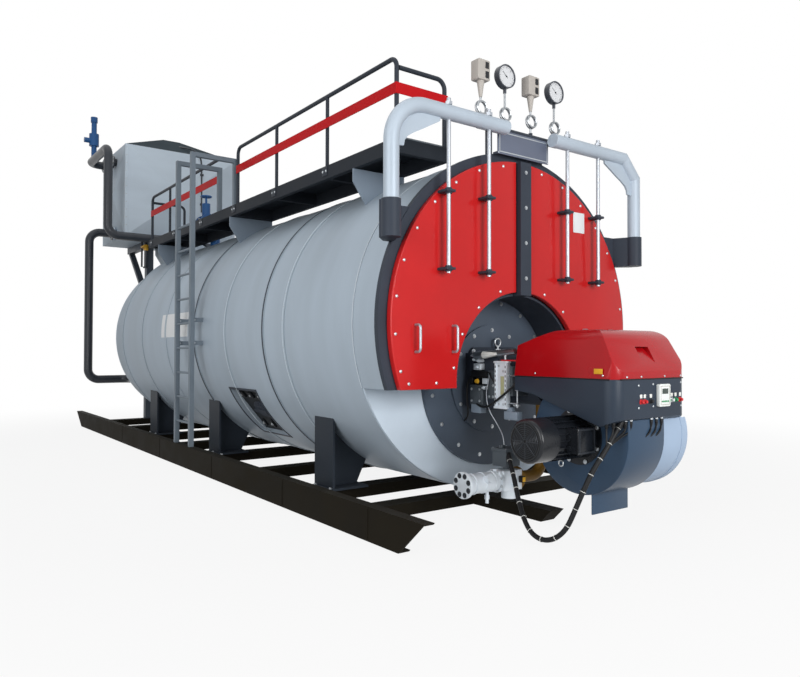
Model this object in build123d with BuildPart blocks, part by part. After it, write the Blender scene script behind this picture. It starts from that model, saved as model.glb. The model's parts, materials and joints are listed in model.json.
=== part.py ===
from build123d import *
import os
from math import cos, radians, sin, sqrt, tan

os.makedirs("parts", exist_ok=True)

# Horizontal fire-tube steam boiler on a skid, millimetres, +Z up and +Y to the rear.
# The origin is on the ground, under the middle saddle.

# Boiler body
shell_clearance = 30
door_to_middle_saddle = 3870
shell_radius = 1400
shell_wall = 110
shell_length = 6557
tube_plate = 20
smokebox_depth = 423
band_width = 50
band_rise = 5
band_shares = (0.178, 0.242, 0.385, 0.523, 0.681, 0.84, 0.992)
seat = 0.3
end_plate_inset = 4

# Skid
skid_height = 240
skid_width = 90
skid_wall = 14
skid_clearance = 170
skid_front = 390
right_skid_setback = 860
skid_overhang = 180
skid_nose = 270
skid_tail = 360
beam_height = 100
beam_width = 180
beam_wall = 10
front_beam = 57
rear_beam = 480
burner_rail_width = 150
burner_rail_offset = 105
burner_rail_reach = 355
burner_rail_nose = 100

# Saddles
saddle_front = 857
saddle_rear = 800
leg_inset = 250
leg_width = 320
leg_plate = 20
leg_foot = 340
leg_top = 440
foot_plate = 20
foot_overhang = 30

# Inspection window in the lower left of the cladding
window_row = -1050
window_angle = 219.5
window_length = 650
window_height = 620
window_depth = 85
handhole_length = 300
handhole_height = 220
handhole_layer = 15
handhole_step = 30
yoke_width = 40

# Smokebox front, door frame and doors
casing_wall = 20
casing_rise = 5
flat_bottom = 500
frame_depth = 44
frame_rise = 30
frame_width = 110
tunnel_radius = 717
tunnel_wall = 20
tunnel_drop = 450
door_thickness = 50
door_chamfer = 5
door_gap = 6
door_inset = 45
door_cut_gap = 8
mullion_width = 125
mullion_rise = 35
mullion_gap = 15
furnace_hole = 560
flange_radius = 750
flange_thickness = 33
flange_gap = 2
burner_plate_radius = 465
burner_plate_thickness = 20
burner_bore = 205
handle_radius = 10
handle_rise = 60
handle_height = 200
handle_bend = 28
handle_drop = 120
handle_insets = (585, 225)

# Davits that carry the doors
pipe_radius = 57.15
davit_reach = 10
davit_standoff = 80
davit_rise = 180
davit_end = 275
davit_bend = 300
davit_mitre = 170
sleeve_radius = 70
sleeve_low = 590
sleeve_height = 270
sleeve_floor = 12
bracket_half = 56
running_gap = 0.4
gusset_plate = 12
gusset_leg = 480
gusset_arm = 400
gusset_hollow = 0.62
rod_radius = 16
rod_places = (465, 880)
rod_low = 370
lug_levels = (990, 405)
lug_width = 84
lug_plate = 16
nut_radius = 28
nut_height = 26

# Instruments on the front
plate_width = 600
plate_height = 195
plate_thickness = 10
plate_setback = 10
plate_rise = 10
tab_inner = 210
tab_outer = 252
tab_drop = 30
tab_rise = 40
manifold_radius = 30
manifold_half = 470
manifold_shift = 50
manifold_rise = 225
manifold_row = 98
manifold_leg = 40
manifold_sink = 140
siphon_places = (-390, -115, 195, 495)
siphon_radius = 9
siphon_wall = 2
siphon_loop = 55
siphon_foot = 45
siphon_height = 280
boss_radius = 18
boss_height = 12
gauge_radius = 98
gauge_depth = 52
gauge_bezel = 8
gauge_recess = 8
switch_width = 130
switch_height = 165
switch_depth = 90
switch_corner = 12
stem = 40

# Walkway, railings and ladder
deck_rise = 80
deck_inset = 355
deck_width = 545
deck_front = 370
deck_rear = 150
deck_plate = 8
channel_height = 120
channel_width = 50
deck_bays = 6
bracket_front = 557
bracket_rear = 600
bracket_plate = 16
bracket_lip = 110
bracket_foot = 130
rail_height = 650
rail_radius = 19
post_radius = 17
rail_bend = 80
rail_inset = 25
front_posts = (1480, 2520)
front_rail_end = 3520
rear_post_shares = (0.336, 0.689)
rear_rail_inset = 80
rail_strip_height = 90
rail_strip_plate = 6
rail_strip_rise = 350
ladder_row = 3840
ladder_half = 240
ladder_bar = 50
rung_radius = 13
rung_spacing = 281
rung_first = 260
hoop_rise = 490

# Rear smokebox, flue and economizer
rear_step = 100
rear_depth = 680
rear_wall = 20
cover_thickness = 30
cover_rim = 320
cover_step = 40
econo_gap = 680
econo_width = 2000
econo_length = 1530
econo_rise = 465
econo_height = 1605
econo_wall = 60
crease = 22
crease_tip = 60
roof_height = 375
roof_top = 300
flue_half = 300
flue_mouth = 600
flue_lip = 215
flue_shoulder_drop = 195
flue_sill_drop = 546
collar_radius = 320
collar_wall = 8
collar_length = 160
stand_column = 120
stand_half = 500
stand_row = 290
bearer_height = 120
bearer_width = 100
tie_drop = 1200
brace_depth = 80
brace_drop = 990

# Piping at the rear
water_radius = 70
elbow_radius = 180
nozzle_length = 60
nozzle_flange = 120
flange_plate = 22
nozzle_row = 590
outlet_drop = 150
outlet_row = 1210
feed_rise = 105
riser_reach = 320
riser_setback = 160
run_drop = 35
run_clearance = 115
feed_reach = 445
feed_low = 730
feed_inset = 750
valve_inset = 790
valve_half = 130
valve_ball = 105
valve_neck = 62
valve_height = 400
bonnet_height = 290
valve_stem = 16
wheel_radius = 75
wheel_bar = 12
dip_inset = 1170
dip_sink = 140
dip_elbow = 126
relief_neck = 45
relief_rise = 180
relief_body = 82
relief_setback = 330
relief_height = 520
relief_base = 217
relief_cap = 58
relief_cap_height = 93
relief_outlet = 93

# Burner
burner_drop = 450
head_width = 560
head_height = 540
head_corner = 60
head_plate = 30
neck_radius = 200
housing_half = 420
housing_rear = 310
housing_front = 1220
housing_top = 400
housing_corner = 100
skirt_rear = 110
skirt_knee = 180
skirt_step = 20
skirt_low = 320
skirt_front = 270
skirt_back = 130
hood_height = 340
hood_nose = 230
hood_rise_length = 330
hood_slope = 160
hood_lip = 50
hood_corner = 90
hood_crown = 140
hood_lean = 81
scoop_width = 150
scoop_low = 110
scoop_high = 220
scoop_depth = 45
fan_row = 780
fan_drop = 820
fan_radius = 420
fan_left = 250
fan_right = 160
fan_rim = 22
intake_radius = 400
intake_length = 340
motor_radius = 138
motor_length = 370
cowl_radius = 152
cowl_length = 180
motor_flange = 172
fin_count = 20
fin_height = 16
fin_plate = 7
terminal_size = 170
terminal_depth = 80
foot_drop = 126
foot_depth = 120
foot_sheet = 12
foot_overlap = 84
display_offset = 100
display_rise = 18
display_width = 130
display_height = 156
display_depth = 28
display_corner = 12
servo_length = 200
servo_height = 230
servo_width = 140
servo_wrap = 47
gland_radius = 22
gland_length = 70
cable_radius = 17.5
loom_upper_steps = 6

# Gas train below the burner
gas_row = 200
gas_rise = 200
gas_pipe = 45
gas_inlet = 850
gas_flange = 98
gas_flange_plate = 26
gas_joint = 88
strainer_radius = 74
strainer_length = 330
gas_body = 190
gas_body_size = 150
gas_elbow = 120
actuator_width = 150
actuator_height = 130
actuator_rise = 30
regulator_radius = 62
regulator_drop = 70

# Worked-out levels and places
axis_height = beam_height + shell_clearance + shell_radius
rear_radius = shell_radius - rear_step
door_radius = shell_radius - door_inset
axis = Axis((0, 0, axis_height), (0, 1, 0))
door_y = -door_to_middle_saddle
plate_y = door_y + smokebox_depth
shell_front = plate_y + tube_plate
shell_rear = shell_front + shell_length
door_back = door_y + door_thickness
frame_front = door_back + door_gap
frame_back = frame_front + frame_depth
skid_outer = shell_radius + skid_clearance
band_rows = [shell_front + share * shell_length for share in band_shares]
saddle_rows = (shell_front + saddle_front, 0, shell_rear - saddle_rear)
beam_rows = (
    shell_front + front_beam,
    saddle_rows[0] / 2,
    saddle_rows[2] / 2,
    shell_rear + rear_beam,
)
bracket_rows = (
    shell_front + bracket_front,
    (shell_front + bracket_front + shell_rear - bracket_rear) / 2,
    shell_rear - bracket_rear,
)
deck_top = axis_height + shell_radius + deck_rise
deck_start = door_y + deck_front
deck_end = shell_rear - deck_rear
deck_length = deck_end - deck_start
deck_outer = shell_radius - deck_inset
deck_inner = deck_outer - deck_width
rear_plate_y = shell_rear + tube_plate
rear_end = rear_plate_y + rear_depth
cover_end = rear_end + cover_thickness
econo_front = cover_end + econo_gap
econo_back = econo_front + econo_length
econo_bottom = axis_height + rear_radius + econo_rise
econo_top = econo_bottom + econo_height
stand_y = econo_front + stand_row
skid_rear = stand_y + skid_overhang
arm_height = axis_height + shell_radius + davit_rise
pivot_x = shell_radius + davit_reach
pivot_y = door_y - davit_standoff
burner_z = axis_height - burner_drop
housing_z = axis_height - housing_top
fan_y = door_y - fan_row
fan_z = axis_height - fan_drop
gas_y = door_y - gas_row
gas_z = axis_height - shell_radius + gas_rise


def across(y, z=axis_height):
    """Plane of a cross-section at y, seen from the front: local axes X and Z, extruded forward."""
    return Plane(origin=(0, y, z), x_dir=(1, 0, 0), z_dir=(0, -1, 0))


def side_view(x):
    """Plane of a side view at x: local axes Y and Z, extruded to the right."""
    return Plane(origin=(x, 0, 0), x_dir=(0, 1, 0), z_dir=(1, 0, 0))


def start_plane(route):
    """Plane across the start of a swept route, facing along it."""
    wire = route.wire()
    return Plane(origin=wire @ 0, z_dir=wire % 0)


def lying_cylinder(radius, y_from, y_to, x=0, z=axis_height, mode=Mode.ADD):
    """Cylinder along Y between two places."""
    with Locations((x, (y_from + y_to) / 2, z)):
        Cylinder(radius, y_to - y_from, rotation=(90, 0, 0), mode=mode)


def turned_cylinder(radius, x_from, x_to, y, z, mode=Mode.ADD):
    """Cylinder along X between two places."""
    with Locations(((x_from + x_to) / 2, y, z)):
        Cylinder(radius, x_to - x_from, rotation=(0, 90, 0), mode=mode)


def standing_cylinder(radius, z_from, z_to, x, y, mode=Mode.ADD):
    """Cylinder along Z between two levels."""
    with Locations((x, y, (z_from + z_to) / 2)):
        Cylinder(radius, z_to - z_from, mode=mode)


def block(x_from, x_to, y_from, y_to, z_from, z_to, mode=Mode.ADD):
    """Box between two corners."""
    with Locations(((x_from + x_to) / 2, (y_from + y_to) / 2, (z_from + z_to) / 2)):
        Box(x_to - x_from, y_to - y_from, z_to - z_from, mode=mode)


def flat_bottomed_disc(radius):
    """Round outline of the front, cut flat below, drawn about the boiler axis."""
    Circle(radius)
    with Locations((0, -flat_bottom - radius / 2)):
        Rectangle(2 * radius, radius, mode=Mode.SUBTRACT)


def clear_shell():
    """Cut away what would enter the shell or its bands."""
    lying_cylinder(shell_radius + seat, shell_front, shell_rear, mode=Mode.SUBTRACT)
    for row in band_rows:
        reach = band_width / 2 + seat
        lying_cylinder(shell_radius + band_rise + seat, row - reach, row + reach, mode=Mode.SUBTRACT)


# Skid rails: channels with the flat web outward and both ends cut like a sled
with BuildPart() as skid_rails:
    for side, setback in ((-1, 0), (1, right_skid_setback)):
        nose = door_y - skid_front + setback
        with BuildSketch(side_view(side * (skid_outer - skid_width / 2))):
            Polygon(
                (nose, 0),
                (skid_rear, 0),
                (skid_rear + skid_tail, skid_height),
                (nose - skid_nose, skid_height),
                align=None,
            )
        extrude(amount=skid_width / 2, both=True)
        tip = skid_outer - skid_width
        web = skid_outer - skid_wall
        pocket = sorted((side * tip, side * web))
        block(
            *pocket, nose - skid_nose, skid_rear + skid_tail,
            skid_wall, skid_height - skid_wall, mode=Mode.SUBTRACT,
        )
skid_rails.part.label = "skid_rails"
export_step(skid_rails.part, "parts/skid_rails.step")

# Cross-beams: box sections between the rails
with BuildPart() as cross_beams:
    with BuildSketch(side_view(0)):
        with Locations(*[(row, beam_height / 2) for row in (*saddle_rows, *beam_rows, stand_y)]):
            Rectangle(beam_width, beam_height)
            Rectangle(beam_width - 2 * beam_wall, beam_height - 2 * beam_wall, mode=Mode.SUBTRACT)
    extrude(amount=skid_outer - skid_width, both=True)
cross_beams.part.label = "cross_beams"
export_step(cross_beams.part, "parts/cross_beams.step")

# Low rail that runs out under the burner from the first cross-beam
with BuildPart() as burner_rail:
    rail_start = beam_rows[0] - beam_width / 2
    rail_end = door_y - burner_rail_reach
    with BuildSketch(side_view(-burner_rail_offset)):
        Polygon(
            (rail_start, 0),
            (rail_start, beam_height),
            (rail_end - burner_rail_nose, beam_height),
            (rail_end, 0),
            align=None,
        )
    extrude(amount=burner_rail_width / 2, both=True)
burner_rail.part.label = "burner_rail"
export_step(burner_rail.part, "parts/burner_rail.step")

# Saddle legs: an outer flange, a cross web and a foot plate, cut to the round of the shell
leg_x = shell_radius - leg_inset
leg_rise = -shell_radius / 2
leg_low = beam_height + foot_plate - axis_height
with BuildPart() as saddles:
    for row in saddle_rows:
        for side in (-1, 1):
            flange = sorted((side * leg_x, side * (leg_x - leg_plate)))
            block(
                *flange, row - leg_width / 2, row + leg_width / 2,
                axis_height + leg_low, axis_height + leg_rise,
            )
            foot = sorted((side * (leg_x + foot_overhang), side * (leg_x - leg_foot - foot_overhang)))
            block(
                *foot, row - leg_width / 2, row + leg_width / 2,
                beam_height, beam_height + foot_plate,
            )
            with BuildSketch(across(row)):
                Polygon(
                    (side * leg_x, leg_low),
                    (side * leg_x, leg_rise),
                    (side * (leg_x - leg_top), leg_rise),
                    (side * (leg_x - leg_top), -sqrt(shell_radius**2 - (leg_x - leg_top) ** 2)),
                    (side * (leg_x - leg_foot), leg_low),
                    align=None,
                )
            extrude(amount=leg_plate / 2, both=True)
    clear_shell()
saddles.part.label = "saddles"
export_step(saddles.part, "parts/saddles.step")

# Shell: insulated cylinder with raised seam bands and a pocket at the inspection window
window_plane = Plane(
    origin=(
        shell_radius * cos(radians(window_angle)),
        window_row,
        axis_height + shell_radius * sin(radians(window_angle)),
    ),
    x_dir=(0, 1, 0),
    z_dir=(cos(radians(window_angle)), 0, sin(radians(window_angle))),
)
with BuildPart() as shell:
    with BuildSketch(Plane(origin=(0, 0, axis_height), x_dir=(0, 1, 0), z_dir=(1, 0, 0))):
        with Locations(((shell_front + shell_rear) / 2, shell_radius - shell_wall / 2)):
            Rectangle(shell_length, shell_wall)
        with Locations(*[(row, shell_radius) for row in band_rows]):
            Rectangle(band_width, 2 * band_rise)
    revolve(axis=axis)
    with BuildSketch(window_plane.offset(-window_depth)):
        Rectangle(window_length, window_height)
    extrude(amount=2 * window_depth, mode=Mode.SUBTRACT)
shell.part.label = "shell"
export_step(shell.part, "parts/shell.step")

# Hand-hole in the window: oval neck, cover and clamping yoke
with BuildPart() as handhole:
    with BuildSketch(window_plane.offset(-window_depth)):
        Ellipse(handhole_length / 2, handhole_height / 2)
    extrude(amount=handhole_layer)
    with BuildSketch(window_plane.offset(-window_depth + handhole_layer)):
        Ellipse(handhole_length / 2 - handhole_step, handhole_height / 2 - handhole_step)
    extrude(amount=handhole_layer)
    with BuildSketch(window_plane.offset(-window_depth + 2 * handhole_layer)):
        SlotOverall(handhole_length, yoke_width)
    extrude(amount=handhole_layer)
handhole.part.label = "handhole"
export_step(handhole.part, "parts/handhole.step")

# Front tube plate with the round furnace mouth
with BuildPart() as front_plate:
    with BuildSketch(across(shell_front)):
        Circle(shell_radius - end_plate_inset)
        with Locations((0, -tunnel_drop)):
            Circle(furnace_hole, mode=Mode.SUBTRACT)
    extrude(amount=tube_plate)
front_plate.part.label = "front_plate"
export_step(front_plate.part, "parts/front_plate.step")

# Smokebox casing: round on top, flat below, open where the furnace tunnel comes through
with BuildPart() as smokebox_casing:
    with BuildSketch(across(plate_y)):
        flat_bottomed_disc(shell_radius + casing_rise)
        offset(amount=-casing_wall, kind=Kind.INTERSECTION, mode=Mode.SUBTRACT)
        with Locations((0, -tunnel_drop)):
            Circle(tunnel_radius + seat, mode=Mode.SUBTRACT)
    extrude(amount=plate_y - frame_back)
smokebox_casing.part.label = "smokebox_casing"
export_step(smokebox_casing.part, "parts/smokebox_casing.step")

# Door frame: the flange that the doors close on, open where the furnace tunnel comes through
with BuildPart() as door_frame:
    with BuildSketch(across(frame_back)):
        flat_bottomed_disc(shell_radius + frame_rise)
        offset(amount=-frame_width - frame_rise, kind=Kind.INTERSECTION, mode=Mode.SUBTRACT)
        with Locations((0, -tunnel_drop)):
            Circle(tunnel_radius + seat, mode=Mode.SUBTRACT)
    extrude(amount=frame_depth)
door_frame.part.label = "door_frame"
export_step(door_frame.part, "parts/door_frame.step")

# Furnace tunnel: the arched wall that keeps the burner mouth out of the smokebox
with BuildPart() as furnace_tunnel:
    with BuildSketch(across(plate_y)):
        with Locations((0, -tunnel_drop)):
            Circle(tunnel_radius)
            Circle(tunnel_radius - tunnel_wall, mode=Mode.SUBTRACT)
        with Locations((0, -flat_bottom - tunnel_radius)):
            Rectangle(2 * tunnel_radius, 2 * tunnel_radius, mode=Mode.SUBTRACT)
    extrude(amount=plate_y - frame_front)
furnace_tunnel.part.label = "furnace_tunnel"
export_step(furnace_tunnel.part, "parts/furnace_tunnel.step")

# Mullion between the doors, on the front of the frame and of the tunnel
mullion_top = sqrt(door_radius**2 - (mullion_width / 2) ** 2)
mullion_foot = tunnel_radius - tunnel_drop - tunnel_wall
with BuildPart() as door_mullion:
    block(
        -mullion_width / 2, mullion_width / 2, door_y - mullion_rise, frame_front,
        axis_height + mullion_foot, axis_height + mullion_top,
    )
door_mullion.part.label = "door_mullion"
export_step(door_mullion.part, "parts/door_mullion.step")

# Furnace flange round the burner mouth, narrower inside the tunnel, and the burner plate on it
with BuildPart() as furnace_flange:
    with BuildSketch(across(plate_y, axis_height - tunnel_drop)):
        Circle(flange_radius)
        with Locations((0, flange_radius + tunnel_drop - flat_bottom - flange_gap)):
            Rectangle(2 * flange_radius, 2 * flange_radius, mode=Mode.SUBTRACT)
        Circle(tunnel_radius - tunnel_wall - flange_gap)
        Circle(burner_bore, mode=Mode.SUBTRACT)
    extrude(amount=flange_thickness)
    with BuildSketch(across(plate_y - flange_thickness, burner_z)):
        Circle(burner_plate_radius)
        Circle(burner_bore, mode=Mode.SUBTRACT)
    extrude(amount=burner_plate_thickness)
furnace_flange.part.label = "furnace_flange"
export_step(furnace_flange.part, "parts/furnace_flange.step")

# Doors: flat insulated leaves with a round bite for the furnace tunnel
door_edge = mullion_width / 2 + mullion_gap
for name, side in (("left", -1), ("right", 1)):
    with BuildPart() as door:
        with BuildSketch(across(door_back)):
            flat_bottomed_disc(door_radius)
            with Locations((-side * (door_radius - door_edge), 0)):
                Rectangle(2 * door_radius, 2 * door_radius, mode=Mode.SUBTRACT)
            with Locations((0, -tunnel_drop)):
                Circle(tunnel_radius + door_cut_gap, mode=Mode.SUBTRACT)
        extrude(amount=door_thickness)
        chamfer(door.faces().sort_by(Axis.Y)[0].edges(), length=door_chamfer)
    door.part.label = f"{name}_door"
    export_step(door.part, f"parts/{name}_door.step")

    with BuildPart() as handles:
        for inset in handle_insets:
            place = door_radius - inset
            low = axis_height - handle_drop - handle_height / 2
            with BuildLine() as grip:
                FilletPolyline(
                    (side * place, door_y, low),
                    (side * place, door_y - handle_rise, low),
                    (side * place, door_y - handle_rise, low + handle_height),
                    (side * place, door_y, low + handle_height),
                    radius=handle_bend,
                )
            with BuildSketch(start_plane(grip)):
                Circle(handle_radius)
            sweep(path=grip.wire())
    handles.part.label = f"{name}_handles"
    export_step(handles.part, f"parts/{name}_handles.step")

# Davit sleeves: sockets on the door frame in which the davit legs turn
sleeve_z = axis_height + sleeve_low
bracket_front = frame_front + door_gap - pivot_y
bracket_back = frame_back - pivot_y
with BuildPart() as davit_sleeves:
    for side in (-1, 1):
        with BuildSketch(Plane(origin=(side * pivot_x, pivot_y, sleeve_z))):
            Polygon(
                (side * bracket_half, 0),
                (-side * bracket_half, 0),
                (-side * (bracket_half + bracket_front / 2), bracket_front),
                (-side * (pivot_x - shell_radius / 2), bracket_front),
                (-side * (pivot_x - shell_radius / 2), bracket_back),
                (-side * bracket_half, bracket_back),
                (side * bracket_half, sleeve_radius),
                align=None,
            )
        extrude(amount=sleeve_height)
        standing_cylinder(sleeve_radius, sleeve_z, sleeve_z + sleeve_height, side * pivot_x, pivot_y)
        standing_cylinder(
            pipe_radius + running_gap, sleeve_z + sleeve_floor, sleeve_z + sleeve_height,
            side * pivot_x, pivot_y, mode=Mode.SUBTRACT,
        )
    lying_cylinder(shell_radius + frame_rise + seat, door_back, frame_back + seat, mode=Mode.SUBTRACT)
davit_sleeves.part.label = "davit_sleeves"
export_step(davit_sleeves.part, "parts/davit_sleeves.step")

# Davits: a leg, a bend (smooth on the left, mitred on the right), an arm and a hollowed gusset
leg_bottom = sleeve_z + sleeve_floor + seat
for name, side, mitred in (("left", -1, False), ("right", 1, True)):
    with BuildPart() as davit:
        foot_point = (side * pivot_x, pivot_y, leg_bottom)
        end_point = (side * davit_end, pivot_y, arm_height)
        with BuildLine() as route:
            if mitred:
                Polyline(
                    foot_point,
                    (side * pivot_x, pivot_y, arm_height - davit_mitre),
                    (side * (pivot_x - davit_mitre), pivot_y, arm_height),
                    end_point,
                )
            else:
                FilletPolyline(
                    foot_point, (side * pivot_x, pivot_y, arm_height), end_point, radius=davit_bend
                )
        with BuildSketch(Plane(origin=foot_point)):
            Circle(pipe_radius)
        sweep(path=route.wire(), transition=Transition.RIGHT)
        gusset_low = (side * pivot_x, arm_height - axis_height - gusset_leg)
        gusset_far = (side * (pivot_x - gusset_arm), arm_height - axis_height)
        with BuildSketch(across(pivot_y)):
            with BuildLine():
                Polyline(
                    gusset_far,
                    (side * (pivot_x - davit_bend / 2), arm_height - axis_height),
                    (side * pivot_x, arm_height - axis_height - davit_bend / 2),
                    gusset_low,
                )
                ThreePointArc(
                    gusset_low,
                    (
                        side * (pivot_x - gusset_arm * (1 - gusset_hollow)),
                        arm_height - axis_height - gusset_leg * (1 - gusset_hollow),
                    ),
                    gusset_far,
                )
            make_face()
        extrude(amount=gusset_plate / 2, both=True)
        for place in rod_places:
            standing_cylinder(
                rod_radius + running_gap, arm_height - 2 * pipe_radius, arm_height + 2 * pipe_radius,
                side * place, pivot_y, mode=Mode.SUBTRACT,
            )
    davit.part.label = f"{name}_davit"
    export_step(davit.part, f"parts/{name}_davit.step")

    # Hanger rods with nuts on the arm and lugs on the door face
    with BuildPart() as hangers:
        rod_top = arm_height + pipe_radius + seat
        for place in rod_places:
            standing_cylinder(
                rod_radius, axis_height + rod_low, rod_top + 2 * nut_height, side * place, pivot_y
            )
            with BuildSketch(Plane(origin=(side * place, pivot_y, rod_top))):
                RegularPolygon(nut_radius, 6)
            extrude(amount=nut_height)
            for lug_level in lug_levels:
                block(
                    side * place - lug_width / 2, side * place + lug_width / 2,
                    pivot_y - 2 * rod_radius, door_y,
                    axis_height + lug_level - lug_plate / 2, axis_height + lug_level + lug_plate / 2,
                )
    hangers.part.label = f"{name}_hangers"
    export_step(hangers.part, f"parts/{name}_hangers.step")

# Bare name plate on two tabs from the door frame
plate_low = axis_height + shell_radius - plate_rise
with BuildPart() as name_plate:
    plate_front = door_y - plate_setback
    block(
        -plate_width / 2, plate_width / 2, plate_front, plate_front + plate_thickness,
        plate_low, plate_low + plate_height,
    )
    for side in (-1, 1):
        tab = sorted((side * tab_outer, side * tab_inner))
        block(*tab, plate_front, frame_back, plate_low - tab_drop, plate_low + tab_rise)
    lying_cylinder(shell_radius + frame_rise + seat, plate_front + plate_thickness, shell_front, mode=Mode.SUBTRACT)
    block(
        -plate_width, plate_width, plate_front, door_back + door_gap,
        plate_low - tab_drop, plate_low, mode=Mode.SUBTRACT,
    )
name_plate.part.label = "name_plate"
export_step(name_plate.part, "parts/name_plate.step")

# Gauge manifold: a pipe on two legs, with a boss for each siphon
manifold_z = axis_height + shell_radius + manifold_rise
manifold_y = door_y + manifold_row
with BuildPart() as gauge_manifold:
    turned_cylinder(
        manifold_radius, manifold_shift - manifold_half, manifold_shift + manifold_half, manifold_y, manifold_z
    )
    for side in (-1, 1):
        leg = side * plate_width / 2
        block(
            leg - manifold_leg / 2, leg + manifold_leg / 2,
            manifold_y - manifold_leg / 2, manifold_y + manifold_leg / 2,
            axis_height + shell_radius - manifold_sink, manifold_z,
        )
    for place in siphon_places:
        standing_cylinder(
            boss_radius, manifold_z, manifold_z + manifold_radius + boss_height, place, manifold_y
        )
    lying_cylinder(shell_radius + frame_rise + seat, door_y, shell_front, mode=Mode.SUBTRACT)
gauge_manifold.part.label = "gauge_manifold"
export_step(gauge_manifold.part, "parts/gauge_manifold.step")

# Pigtail siphons between the manifold and the instruments
siphon_low = manifold_z + manifold_radius + boss_height
siphon_top = siphon_low + siphon_height
with BuildPart() as siphon_pipes:
    for place in siphon_places:
        loop_z = siphon_low + siphon_foot + siphon_loop
        standing_cylinder(siphon_radius, siphon_low, loop_z - siphon_loop + siphon_wall, place, manifold_y)
        standing_cylinder(siphon_radius, loop_z + siphon_loop - siphon_wall, siphon_top, place, manifold_y)
        with Locations((place, manifold_y, loop_z)):
            Torus(siphon_loop, siphon_radius - siphon_wall, rotation=(90, 0, 0))
siphon_pipes.part.label = "siphon_pipes"
export_step(siphon_pipes.part, "parts/siphon_pipes.step")

# Pressure gauges: round cases with a raised rim, on a square stem
with BuildPart() as pressure_gauges:
    for place in siphon_places[1::2]:
        gauge_z = siphon_top + stem + gauge_radius
        half = gauge_depth / 2
        lying_cylinder(gauge_radius, manifold_y - half, manifold_y + half, place, gauge_z)
        lying_cylinder(
            gauge_radius - gauge_bezel, manifold_y - half, manifold_y - half + gauge_recess, place, gauge_z,
            mode=Mode.SUBTRACT,
        )
        block(
            place - stem / 4, place + stem / 4, manifold_y - stem / 4, manifold_y + stem / 4,
            siphon_top, gauge_z - gauge_radius + gauge_bezel,
        )
pressure_gauges.part.label = "pressure_gauges"
export_step(pressure_gauges.part, "parts/pressure_gauges.step")

# Pressure switches: rounded boxes on a square stem
with BuildPart() as pressure_switches:
    for place in siphon_places[0::2]:
        with BuildSketch(across(manifold_y + switch_depth / 2, siphon_top + stem + switch_height / 2)):
            with Locations((place, 0)):
                RectangleRounded(switch_width, switch_height, switch_corner)
        extrude(amount=switch_depth)
        block(
            place - stem / 4, place + stem / 4, manifold_y - stem / 4, manifold_y + stem / 4,
            siphon_top, siphon_top + stem,
        )
pressure_switches.part.label = "pressure_switches"
export_step(pressure_switches.part, "parts/pressure_switches.step")

# Walkway: side channels, cross-members and a deck plate
deck_low = deck_top - channel_height
with BuildPart() as walkway:
    block(-deck_outer, -deck_outer + channel_width, deck_start, deck_end, deck_low, deck_top)
    block(-deck_inner - channel_width, -deck_inner, deck_start, deck_end, deck_low, deck_top)
    block(-deck_outer, -deck_inner, deck_start, deck_end, deck_top - deck_plate, deck_top)
    for bay in range(deck_bays + 1):
        member = deck_start + bay * (deck_length - channel_width) / deck_bays
        block(-deck_outer, -deck_inner, member, member + channel_width, deck_low, deck_top)
walkway.part.label = "walkway"
export_step(walkway.part, "parts/walkway.step")

# Brackets under the walkway, cut to the round of the shell
with BuildPart() as walkway_brackets:
    for row in bracket_rows:
        with BuildSketch(across(row)):
            Polygon(
                (-deck_outer, deck_low - axis_height),
                (-deck_inner, deck_low - axis_height),
                (-deck_inner, shell_radius / 2),
                (-deck_outer + bracket_foot, shell_radius / 2),
                (-deck_outer + bracket_foot, sqrt(shell_radius**2 - (deck_outer - bracket_foot) ** 2)),
                (-deck_outer, deck_low - axis_height - bracket_lip),
                align=None,
            )
        extrude(amount=bracket_plate / 2, both=True)
    clear_shell()
walkway_brackets.part.label = "walkway_brackets"
export_step(walkway_brackets.part, "parts/walkway_brackets.step")

# Side railings: bent tube hoops with posts between, the rear one ending at the ladder hoop
rail_x = -deck_outer + rail_inset
rail_z = deck_top + rail_height
rail_front = deck_start + rail_inset
rail_gap_front = door_y + front_rail_end
hoop_rows = (door_y + ladder_row - ladder_half, door_y + ladder_row + ladder_half)
rear_rail_front = hoop_rows[1] + ladder_bar / 2 + seat
rear_rail_back = deck_end - rear_rail_inset
rear_posts = [rear_rail_front + share * (rear_rail_back - rear_rail_front) for share in rear_post_shares]
with BuildPart() as side_railings:
    with BuildLine() as front_route:
        FilletPolyline(
            (rail_x, rail_gap_front, deck_top),
            (rail_x, rail_gap_front, rail_z),
            (rail_x, rail_front, rail_z),
            (rail_x, rail_front, deck_top),
            radius=rail_bend,
        )
    with BuildSketch(start_plane(front_route)):
        Circle(rail_radius)
    sweep(path=front_route.wire())
    with BuildLine() as rear_route:
        FilletPolyline(
            (rail_x, rear_rail_back, deck_top),
            (rail_x, rear_rail_back, rail_z),
            (rail_x, rear_rail_front, rail_z),
            radius=rail_bend,
        )
    with BuildSketch(start_plane(rear_route)):
        Circle(rail_radius)
    sweep(path=rear_route.wire())
    for post in (*[door_y + place for place in front_posts], *rear_posts):
        standing_cylinder(post_radius, deck_top, rail_z, rail_x, post)
side_railings.part.label = "side_railings"
export_step(side_railings.part, "parts/side_railings.step")

# End railings across the walkway: a tube from the corner that bends down to its own post
with BuildPart() as end_railings:
    for row in (rail_front, rear_rail_back):
        with BuildLine() as end_route:
            FilletPolyline(
                (rail_x + rail_radius + seat, row, rail_z - rail_bend),
                (-deck_inner - rail_inset, row, rail_z - rail_bend),
                (-deck_inner - rail_inset, row, deck_top),
                radius=rail_bend,
            )
        with BuildSketch(start_plane(end_route)):
            Circle(rail_radius)
        sweep(path=end_route.wire())
end_railings.part.label = "end_railings"
export_step(end_railings.part, "parts/end_railings.step")

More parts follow.
